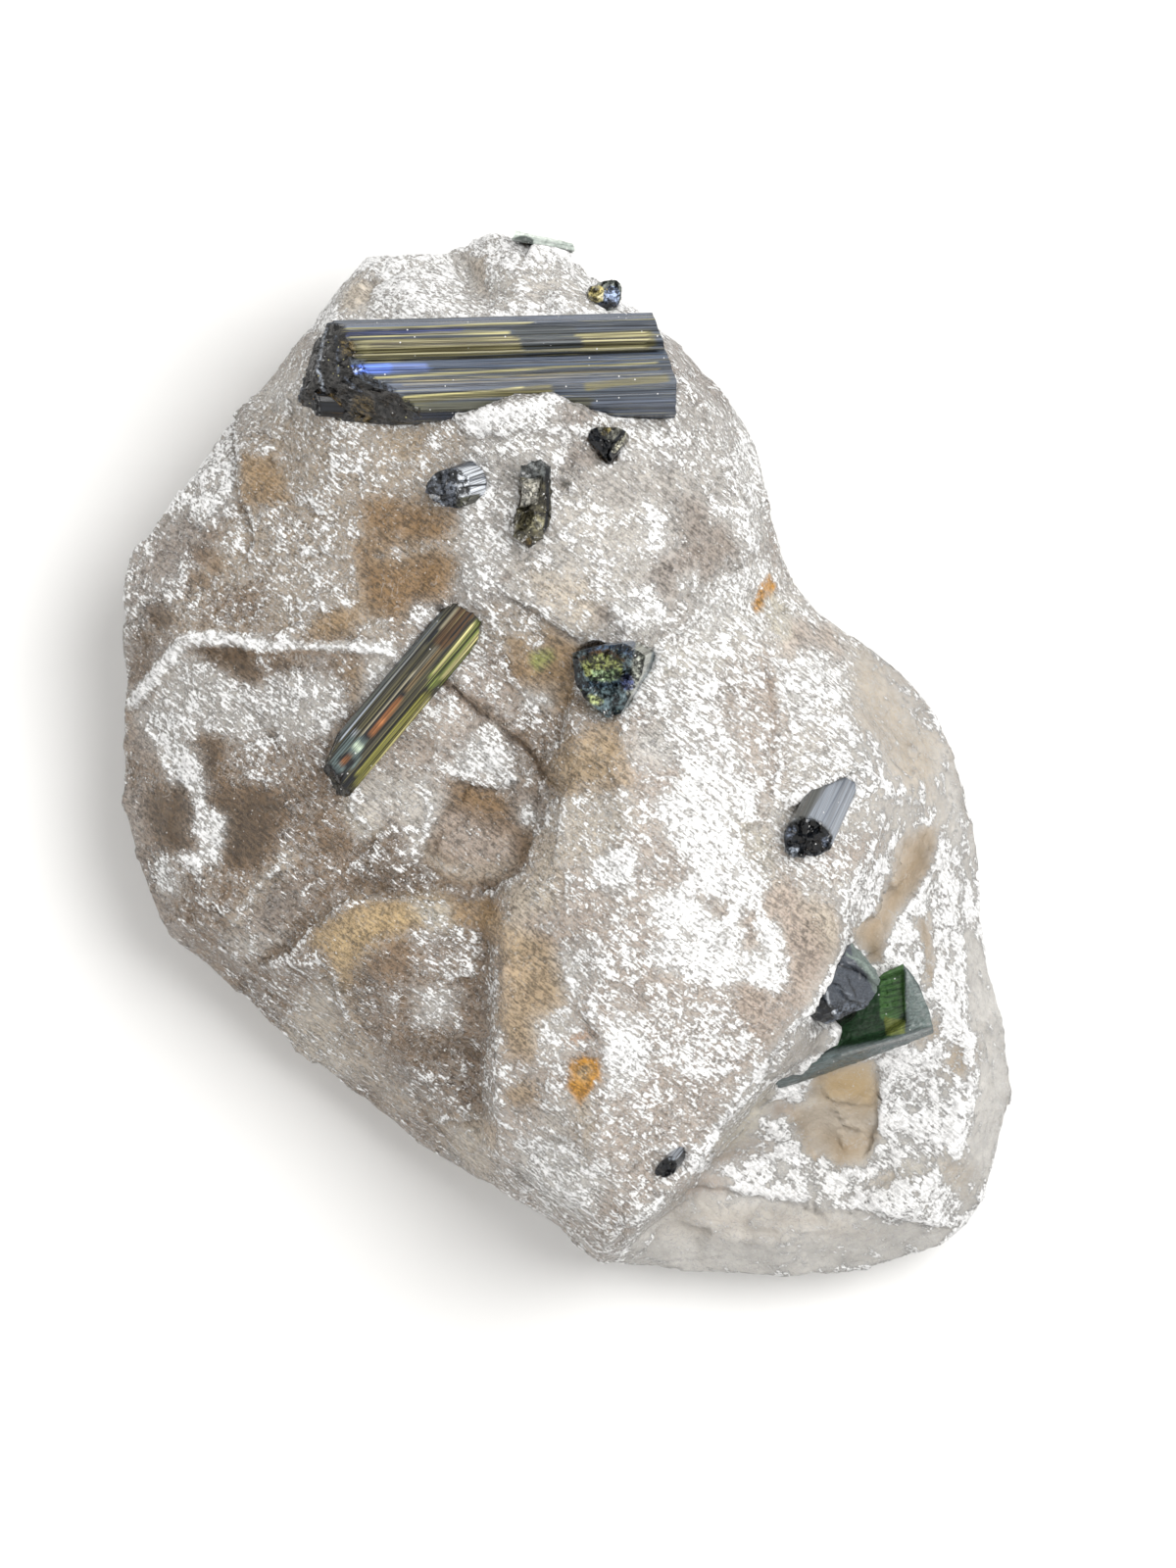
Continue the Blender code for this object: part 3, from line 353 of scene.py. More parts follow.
    (area((76.4, 93), (78.6, 94), (80.6, 87), (80, 80), (77.6, 78), (76.4, 84), (75, 89)), ROSE, 0.62),
    (area((78.4, 92), (79.8, 91), (79.6, 86), (78, 88)), ROSE, 0.3),
    (area((80.2, 96.8), (82, 96.4), (83, 94.6), (81.4, 92), (80.2, 93)), ROSE, 0.06),
    (area((83.2, 96), (85, 95.4), (86.1, 93.6), (85.4, 92), (84, 94)), ROSE, 0.06),
    (stripe(0.4, (81.8, 93.6), (83.6, 94)), ROSE, 0.1),
    (area((82, 94), (84.6, 93), (87, 90), (84, 86), (80, 88), (80, 92)), MILK, 0.84),
    (area((87.8, 94), (89.8, 92), (92.6, 87.6), (92, 83), (88, 85), (87, 90)), SAND, 0.42),
    (area((90, 86), (92, 87.6), (95.4, 84.6), (97.6, 79.4), (97, 76), (94, 79), (90.4, 81.6)),
     SAND, 0.44),
    (area((96, 83), (98, 79), (99.6, 73), (100, 66), (98, 66), (97, 74), (95.6, 80)), MILK, 0.56),
    (area((91, 73), (94, 76), (95.4, 75), (92.6, 71.6)), MILK, 0.85),
    (area((84, 88), (90, 84), (88.4, 78), (86, 76), (86, 82)), PALE, 0.70),
    (area((80, 72), (86, 74), (90, 75), (89.6, 71), (84, 70)), ROSE, 0.64),
    # The low terrace
    (area((86, 69), (92, 74), (96, 75), (101, 68), (103.4, 55), (102.6, 40), (97, 32), (80, 28.6),
          (62, 30), (66, 36), (72, 43), (80, 54), (86.4, 64)), MILK, 0.88),
    (area((87.2, 65.2), (89.4, 67), (90.6, 70), (92.2, 74), (94, 75.6), (95.6, 75), (95, 71.6),
          (93.6, 69.4), (91.6, 66.8), (90.6, 64.6), (90.2, 61.6), (88.6, 61.4), (88, 63)), TAN, 0.0),
    (area((93.6, 66.2), (95, 66.4), (95, 64), (94, 64)), TAN, 0.1),
    (stripe(0.4, (94.8, 64), (94.6, 60)), TAN, 0.2), (spot(98, 52, 2.2, 1.4, 60), TAN, 0.6),
    (spot(94.8, 54.6, 1.5, 1.0, 40), TAN, 0.5),
    (area((83.6, 51.2), (89, 51.9), (89.6, 47), (89.5, 43.6), (88, 41), (84.8, 41), (82, 44.6),
          (80.6, 46.4), (82, 47.4)), SAND, 0.14),
    (area((84.0, 51.2), (89.0, 51.9), (89.4, 47.4), (86.6, 47.2), (84.6, 48), (83.8, 49.6)),
     HONEY, 0.0),
    (area((84.4, 44), (87, 43.6), (89, 44.4), (87.6, 42), (85, 41.6)), TAN, 0.08),
    (stripe(0.35, (80.4, 46.6), (82.2, 44), (82.8, 41.6)), TAN, 0.1),
    (area((72, 42.6), (78, 49.6), (79.6, 49), (77, 44.6), (74, 41.6)), CREAM, 0.5),
    (area((71.6, 42), (78, 44.4), (79, 42.6), (73, 40.6)), ROSE, 0.62),
    (spot(79.4, 46.6, 0.8, 0.6, 40), ROSE, 0.15),
    (area((68.6, 40.6), (74, 40), (74, 37.6), (68, 36.4)), ROSE, 0.44),
    (area((66, 36), (72, 38), (80, 37.6), (88, 36.4), (97, 34.6), (95, 31.6), (80, 28.8), (63, 30)),
     MILK, 0.50),
    # Painted shadow: a darker band with thinner frost just below the ledge above it
    (area((68, 37.6), (79, 37), (86, 35.6), (90, 34), (80, 33.6), (67, 34)), PALE, 0.36),
    (area((98.4, 66), (100, 64), (102.4, 58), (103.4, 50), (101.6, 40), (98.4, 36), (97, 40),
          (99, 44), (100, 52), (98.6, 60)), MILK, 0.44),
    (spot(97.4, 40.4, 2.4, 1.4, -50), SAND, 0.5), (spot(91, 39.6, 2.0, 1.0, 20), SAND, 0.6),
    (area((92, 40.6), (95, 40.8), (94, 38.6), (91.6, 38)), CREAM, 0.8),
    (area((78.4, 50.6), (80, 53.8), (81.5, 54.9), (84.2, 55.4), (85.8, 55.8), (85, 53.2), (81.8, 51.4),
          (79.5, 50.2)), GREY, 0.46),
]

# Stains and inclusions, as colour alone
STAINS = [
    (area((58.0, 51.4), (59.2, 52.4), (61, 51.8), (61.4, 50.4), (60, 48.2), (58.6, 47.6),
          (57.9, 49.6)), RUST, 0.0),
    (area((58.6, 51.0), (60, 51.2), (60.2, 49.8), (59, 49.6)), HONEY, 0.0),
    (spot(59.0, 54.0, 1.4, 0.6, 30), (0.72, 0.45, 0.28), 0.5),
    (area((76.6, 97.6), (77.4, 99.4), (78.4, 101.6), (79.2, 100), (78.6, 98.6), (77.2, 97.2)),
     RUST, 0.2),
    (spot(79.4, 97.0, 1.2, 2.6, 20), CREAM, 0.5),
    (area((54.1, 93.2), (55, 93.6), (56.5, 93.4), (56.4, 92.6), (55.2, 91.8), (54.3, 91.6)), LIME, 0.0),
    (spot(57.7, 110.5, 0.4, 0.5), (0.06, 0.06, 0.05), 0.0), (spot(51.6, 101.2, 0.5, 0.8), SLATE, 0.0),
    (spot(44.8, 98.0, 0.5, 0.4, 40), (0.03, 0.03, 0.03), 0.0),
]

# White veins
VEINS = [
    (stripe(0.62, (13.4, 88.2), (15, 90), (16.5, 91.8), (18, 93.8), (19, 94.6), (21.5, 94.9),
            (24, 94.8), (25.8, 94.2)), MILK, 1.0),
    (stripe(0.45, (26.7, 94.3), (30, 94.1)), MILK, 1.0),
    (stripe(0.3, (30.2, 94.2), (36.4, 94.1)), MILK, 0.7),
    (stripe(0.5, (36.8, 94.0), (40.3, 93.5)), MILK, 0.98),
]
BASE_TONE = SLATE
BARE_FROST = 0.46
# The right and low parts, where the frost is softer
SOFT_GROUND = area((88, 96), (87, 84), (88, 70), (84, 62), (78, 51), (70, 40), (64, 33), (60, 20),
                   (110, 20), (110, 90), (96, 100))
SOFT_EDGE = 5.0
TONE_SOFT = 3.2
FROST_SOFT = 1.4
VEIN_SOFT = 0.5
PATCH_SOFT = 0.16

# Edges of the quartz: the line, the rise just left of it and just right of it, and how far
# that reaches to the left and to the right, in millimetres
EDGES = [
    ([(26.0, 61.5), (30.0, 62.8), (31.2, 64.5), (33, 66), (35, 67.5), (38.5, 68.6), (43, 68.1),
      (47, 68.0), (50, 68.7), (53.8, 70.7), (54.8, 73.8), (56.0, 76.7), (57.7, 80)],
     -0.7, 0.7, 1.4, 3.0),
    ([(52.0, 62.6), (51.2, 60), (50.8, 56), (50.3, 54), (50.0, 51), (49.8, 46)], 0.7, -0.5, 2.5, 1.4),
    ([(43.8, 45.6), (47, 45.6), (49.6, 45.8)], 0.4, -0.5, 1.5, 0.8),
    ([(60.5, 87), (63.5, 85), (63.7, 78), (64.0, 66), (62.0, 52), (60.5, 42)], 0.3, 0.3, 2.0, 2.0),
    ([(87.0, 65.5), (84.5, 60), (82, 56.5), (78, 51.5), (74, 46), (72.5, 43), (69, 38.5), (64, 34)],
     -0.5, 0.6, 0.8, 2.6),
    ([(13.4, 88.0), (15, 90), (16.5, 91.7), (18, 93.8), (19, 94.6), (21.5, 94.9), (24, 94.8),
      (25.8, 94.2)], 0.75, 0.75, 0.55, 0.55),
    ([(18.6, 93.4), (21.5, 93.7), (24, 93.6), (26.4, 93.2)], -0.1, -0.45, 0.3, 0.7),
    ([(26.7, 94.3), (30, 94.1), (36.8, 94.0), (40.3, 93.5)], 0.4, 0.4, 0.4, 0.4),
    ([(50.0, 100.5), (53, 98.5), (56, 96.6), (58, 95.6), (59.8, 94.2)], 0.6, -0.5, 2.4, 0.8),
    ([(68, 94.6), (70.0, 96), (72, 98), (74, 100), (76, 103), (77.5, 105)], 0.5, -0.3, 2.0, 1.0),
    ([(64, 87), (64, 86.2), (64.3, 82.5), (66.5, 81.2), (70, 80.4)], -0.25, 0.35, 1.2, 0.6),
    ([(45.8, 81.2), (48, 79.9), (50, 79.6), (51.8, 79.8), (52.7, 80.5), (52.0, 82.5), (51, 84.5)],
     0.6, -0.4, 1.6, 0.6),
    ([(35.6, 80.0), (35.7, 77.5), (36.2, 76.3), (37.8, 75.2), (39.4, 75.6)], 0.5, -0.2, 1.4, 0.5),
    ([(43.6, 80), (43.9, 77.4), (43.4, 75), (42, 72.6)], 0.3, 0.2, 0.4, 0.4),
    ([(46.2, 78.6), (44.8, 76.8), (44, 75.5), (43.6, 73.6), (42.4, 72), (45, 70.6), (49, 70.4),
      (53, 72)], -0.3, 0.3, 0.7, 0.7),
    ([(38.2, 75.2), (38.0, 73), (37.4, 70.6)], 0.1, -0.4, 0.6, 0.5),
    ([(45, 91), (47.5, 88.8), (49, 87.4), (52, 85.2), (54, 83.5), (56, 80.8), (57, 79.5)],
     0.3, -0.6, 1.6, 0.6),
    ([(51, 93.5), (53, 90), (55.5, 87)], -0.4, 0.2, 0.5, 1.0),
    ([(57.6, 79.4), (61, 79.8), (63.8, 80.6)], 0.3, -0.3, 1.5, 0.8),
    ([(46.4, 135), (47.2, 132.6), (48.4, 130.6), (49.3, 129.2)], -1.0, -0.9, 0.9, 0.7),
    ([(36.2, 128.6), (38, 131.6), (42, 133.2), (46, 133.4)], 0.4, -0.3, 1.0, 1.4),
    ([(24.0, 119), (24.2, 114), (24.6, 109), (26, 106), (25, 102)], 0.5, -0.5, 2.0, 0.8),
    ([(24, 65.6), (26.4, 69), (29.4, 72.4)], 0.4, -0.4, 0.6, 1.2),
    ([(14.8, 87), (16.6, 83.6), (17.8, 80.4), (20, 77.6)], -0.2, 0.3, 0.6, 0.6),
    ([(77.6, 93), (79, 90), (79.5, 86), (79.3, 82), (78.8, 78)], 0.2, -0.5, 0.8, 0.8),
    ([(87.2, 65.4), (89.4, 67.2), (90.8, 70.4), (92.6, 74)], 0.4, -0.7, 0.5, 0.9),
    ([(92, 66.4), (93.8, 69.4), (95.4, 72), (96, 75)], -0.6, 0.4, 0.9, 1.0),
    ([(89.6, 52), (89.8, 48), (89.6, 45), (88, 41.6)], 0.6, -0.5, 2.0, 0.6),
    ([(84.2, 51), (83.8, 49.4), (84.6, 48), (86.6, 47.2), (89.4, 47.4)], 0.3, -0.2, 0.5, 0.5),
    ([(80.4, 46.6), (82.2, 44), (82.8, 41.6), (85, 41), (88, 41)], 0.4, 0.3, 0.6, 0.6),
    ([(84, 47.8), (86.4, 45), (89.4, 44)], 0.25, -0.25, 0.6, 0.6),
    ([(66, 38.6), (72, 39), (80, 37.6), (84, 36.4), (90, 36.4), (97, 34.6)], 0.5, -0.4, 2.0, 1.0),
    ([(70, 43), (72.2, 44.6), (73.4, 47.4)], -0.8, -0.8, 0.5, 0.5),
    ([(81.6, 69.8), (83.2, 65.6), (85, 61.8)], 0.3, -0.2, 0.5, 0.8),
    ([(49.6, 64.6), (50.4, 61), (49.8, 57)], 0.2, -0.3, 0.5, 0.5),
    ([(54.6, 45), (58, 43.4), (60.8, 45.8), (61.2, 49)], 0.3, -0.3, 0.8, 0.6),
    ([(33, 62.4), (34.6, 58.6), (36.6, 54), (39, 51)], 0.5, -0.3, 1.0, 1.2),
]
EDGE_FADE = 1.8

# Places where the quartz stands higher: the shape, the rise, and how steep its side is
LIFTS = [
    (area((78.2, 50.9), (80, 53.9), (81.5, 55.0), (84.2, 55.5), (86.4, 55.9), (85.4, 53.4),
          (82, 51.7), (79.5, 50.3)), 1.3, 0.8),
    (area((46.5, 117.3), (51.5, 118.8), (54.5, 119.5), (56.0, 119.8), (60, 118.2), (62.5, 117.4),
          (62, 115.6), (55, 116), (48, 115.6)), 0.7, 1.0),
]

# Lips of quartz that lie over crystals: the corners of each one's hull
LIPS = [
    [(79.0, 78.2, 40.6), (80.6, 82.8, 40.0), (86.6, 83.0, 38.8), (87.6, 81.4, 39.0),
     (84.6, 80.9, 41.0), (83.0, 80.0, 41.8), (81.4, 78.7, 42.6), (80.6, 77.6, 42.6),
     (79, 78, 34), (81, 84, 34), (88, 82.6, 33), (84, 80, 34)],
    [(54.3, 135.2, 31.0), (56.4, 134.9, 31.1), (58.2, 134.3, 30.9), (53.6, 133.4, 30.8),
     (58.6, 132.8, 30.4), (54.3, 135.0, 28), (58.0, 134.2, 28), (53.6, 133.2, 27),
     (58.6, 132.6, 27)],
]
WEDGE_LEDGES = [
    ([(85.4, 62.0), (87.2, 61.4), (88.4, 60.6), (90.0, 59.0)], 0.3, -0.45, 1.2, 0.4),
    ([(84.0, 60.0), (85.6, 59.6), (86.6, 58.0), (88.6, 57.4)], 0.3, -0.4, 1.0, 0.4),
    ([(83.0, 59.0), (84.2, 57.4), (85.2, 56.2)], -0.4, 0.3, 0.4, 0.8),
    ([(85.4, 59.4), (86.4, 60.6)], 0.2, -0.3, 0.4, 0.4),
]
BLADE_HOLLOW = area((84, 54.6), (86, 57), (89.6, 60), (92.0, 60.8), (92.2, 55.8), (90, 54.4),
                    (85.4, 53.2))
BLADE_LEDGES = [
    ([(95.2, 55.0), (92.4, 54.2), (90.0, 53.7), (84.9, 52.8), (81.8, 51.3), (79.4, 50.0)],
     0.3, 0.3, 0.3, 0.4),
    ([(92.4, 61.4), (92.3, 57.8), (92.5, 55.4)], 0.5, 0.4, 0.9, 0.2),
]
MASS_HOLLOWS = [
    area((53.0, 110.8), (55.2, 111.4), (54.8, 109.0), (53.4, 108.0), (52.0, 108.6)),
    spot(53.6, 107.0, 0.5, 0.9, -30),
]
FACES = 11
ROUND_TRIANGLE = 0.10
OUTLINE_POINTS = 132
GROOVE_DEPTH = 0.012
BAR_STEP = 0.14
BAR_GROOVE = 0.06
SHARP_ANGLE = 24
BAR_CORNERS = [
    (-5.4, -1.6), (-5.25, 0.7), (-4.6, 2.2), (-3.2, 2.9), (-2.2, 2.75), (-1.75, 1.9),
    (-1.5, 1.9), (-0.9, 2.9), (0.5, 3.4), (2.4, 3.4), (4.1, 2.8), (5.15, 1.2),
    (5.4, -1.0), (4.6, -4.0), (1.6, -5.4), (-1.8, -5.1), (-4.5, -3.7),
]
BAR_TIP = (32.5, 121.9, 40.9)
BAR_AXIS = (-1.0, -0.027, 0.035)
BAR_LENGTH = 36.6
BAR_CUTS = [
    ((-5.4, 0.0, -1.8), (-0.37, 0.20, 1.0)), ((-0.2, 3.2, -3.9), (0.68, 0.59, 0.44)),
    ((-1.5, 2.7, -3.7), (0.25, 0.75, 0.60)),
]
BAR_FOOT = [((1.5, -36.2), 0.30), ((3.0, -36.3), -0.02)]
NUB_TIP = (32.2, 118.9, 38.4)
NUB_AXIS = (-0.94, 0.02, 0.34)
NUB_SIZE = (2.6, 2.4)
NUB_LENGTH = 9.0
NUB_CUTS = [((0, 0, 0), (0.2, 0.1, 1.0))]
WEDGE_BREAK = 58.0

# Each crystal: the reading of its exposed end, the direction from its buried end to that
# end, its width, depth and length, its turn in degrees, and the cuts of its broken end
CRYSTALS = {
    "diagonal_prism": {
        "tip": (33.8, 80.6, 36.9), "axis": (-0.645, -0.764, -0.09),
        "size": (5.0, 5.2, 26.5), "turn": 25,
        "cuts": [((0, 0, -0.2), (-0.10, 0.35, 1.0)), ((-1.6, 0.5, -1.8), (-0.85, 0.5, 0.3))],
    },
    "valley_stub": {
        "tip": (61.9, 91.0, 48.6), "axis": (-0.12, -0.06, 0.98),
        "size": (7.9, 7.5, 15.0), "triangle": 0.20, "turn": 92, "pit": 1.1,
        "cuts": [((0, 0, -0.8), (-0.15, -0.30, 1.0)), ((-1.5, 1.0, -0.7), (-0.4, 0.3, 0.9))],
    },
    "right_stub": {
        "tip": (82.2, 74.3, 44.4), "axis": (-0.28, -0.56, 0.78),
        "size": (5.0, 5.0, 16.0), "turn": 10,
        "cuts": [((0, 0, -0.3), (0.12, 0.10, 1.0))],
    },
    "small_stub": {
        "tip": (45.4, 110.0, 43.6), "axis": (-0.62, -0.25, 0.74),
        "size": (4.3, 4.0, 6.4), "turn": 15,
        "cuts": [((0, 0, -0.5), (0.2, 0.35, 1.0)), ((0, 1.0, -1.0), (0.3, 0.7, 0.8))],
    },
    "black_chip": {
        "tip": (67.9, 40.7, 39.9), "axis": (-0.34, -0.36, 0.87),
        "size": (1.8, 3.4, 6.0), "turn": 0,
        "cuts": [((0, 0, -0.3), (0.1, -0.3, 1.0))],
    },
    "shard": {
        "tip": (62.1, 115.1, 45.2), "axis": (0.02, 0.06, 1.0),
        "size": (4.0, 3.6, 5.0), "triangle": 0.25, "turn": -12,
        "cuts": [((0, 0, -0.6), (0.3, 0.2, 1.0)), ((-0.8, 0, -0.8), (-0.6, 0.1, 0.8))],
    },
    "top_nub": {
        "tip": (62.0, 130.4, 34.4), "axis": (0.12, 0.25, 0.95),
        "size": (3.5, 3.3, 9.0), "turn": 0,
        "cuts": [((0, 0, -0.8), (-0.4, 0.2, 1.0)), ((0.6, 0, -1), (0.8, -0.3, 0.8))],
    },
}

# Colours of the tourmaline, linear
INK = (0.004, 0.005, 0.007)
DUSK = (0.020, 0.024, 0.034)
NAVY = (0.026, 0.036, 0.095)
STEEL = (0.062, 0.074, 0.100)
FOG = (0.17, 0.19, 0.22)
SILVER = (0.36, 0.38, 0.41)
TEAL = (0.050, 0.072, 0.080)
OLIVE = (0.085, 0.078, 0.038)
BOTTLE = (0.016, 0.038, 0.018)
LEAF = (0.045, 0.105, 0.032)
MOSS = (0.10, 0.12, 0.03)
SPRING = (0.22, 0.25, 0.11)
GOLD = (0.36, 0.33, 0.15)
BRASS = (0.22, 0.18, 0.07)
EMBER = (0.115, 0.045, 0.016)
AMBERGLASS = (0.26, 0.14, 0.03)
# The crystal's own blue, painted brighter as a highlight band along the large crystal
AZURE_HIGHLIGHT = (0.075, 0.14, 0.48)
SMOKE = (0.15, 0.135, 0.095)
BARK = (0.035, 0.026, 0.016)


def parallel(first, last, count, half_width, colour):
    """Evenly spaced stripes from the first to the last, both given by their two ends."""
    made = []
    for share in np.linspace(0, 1, count):
        ends = [tuple(np.array(a) * (1 - share) + np.array(b) * share) for a, b in zip(first, last)]
        made.append((stripe(half_width, *ends), colour))
    return made


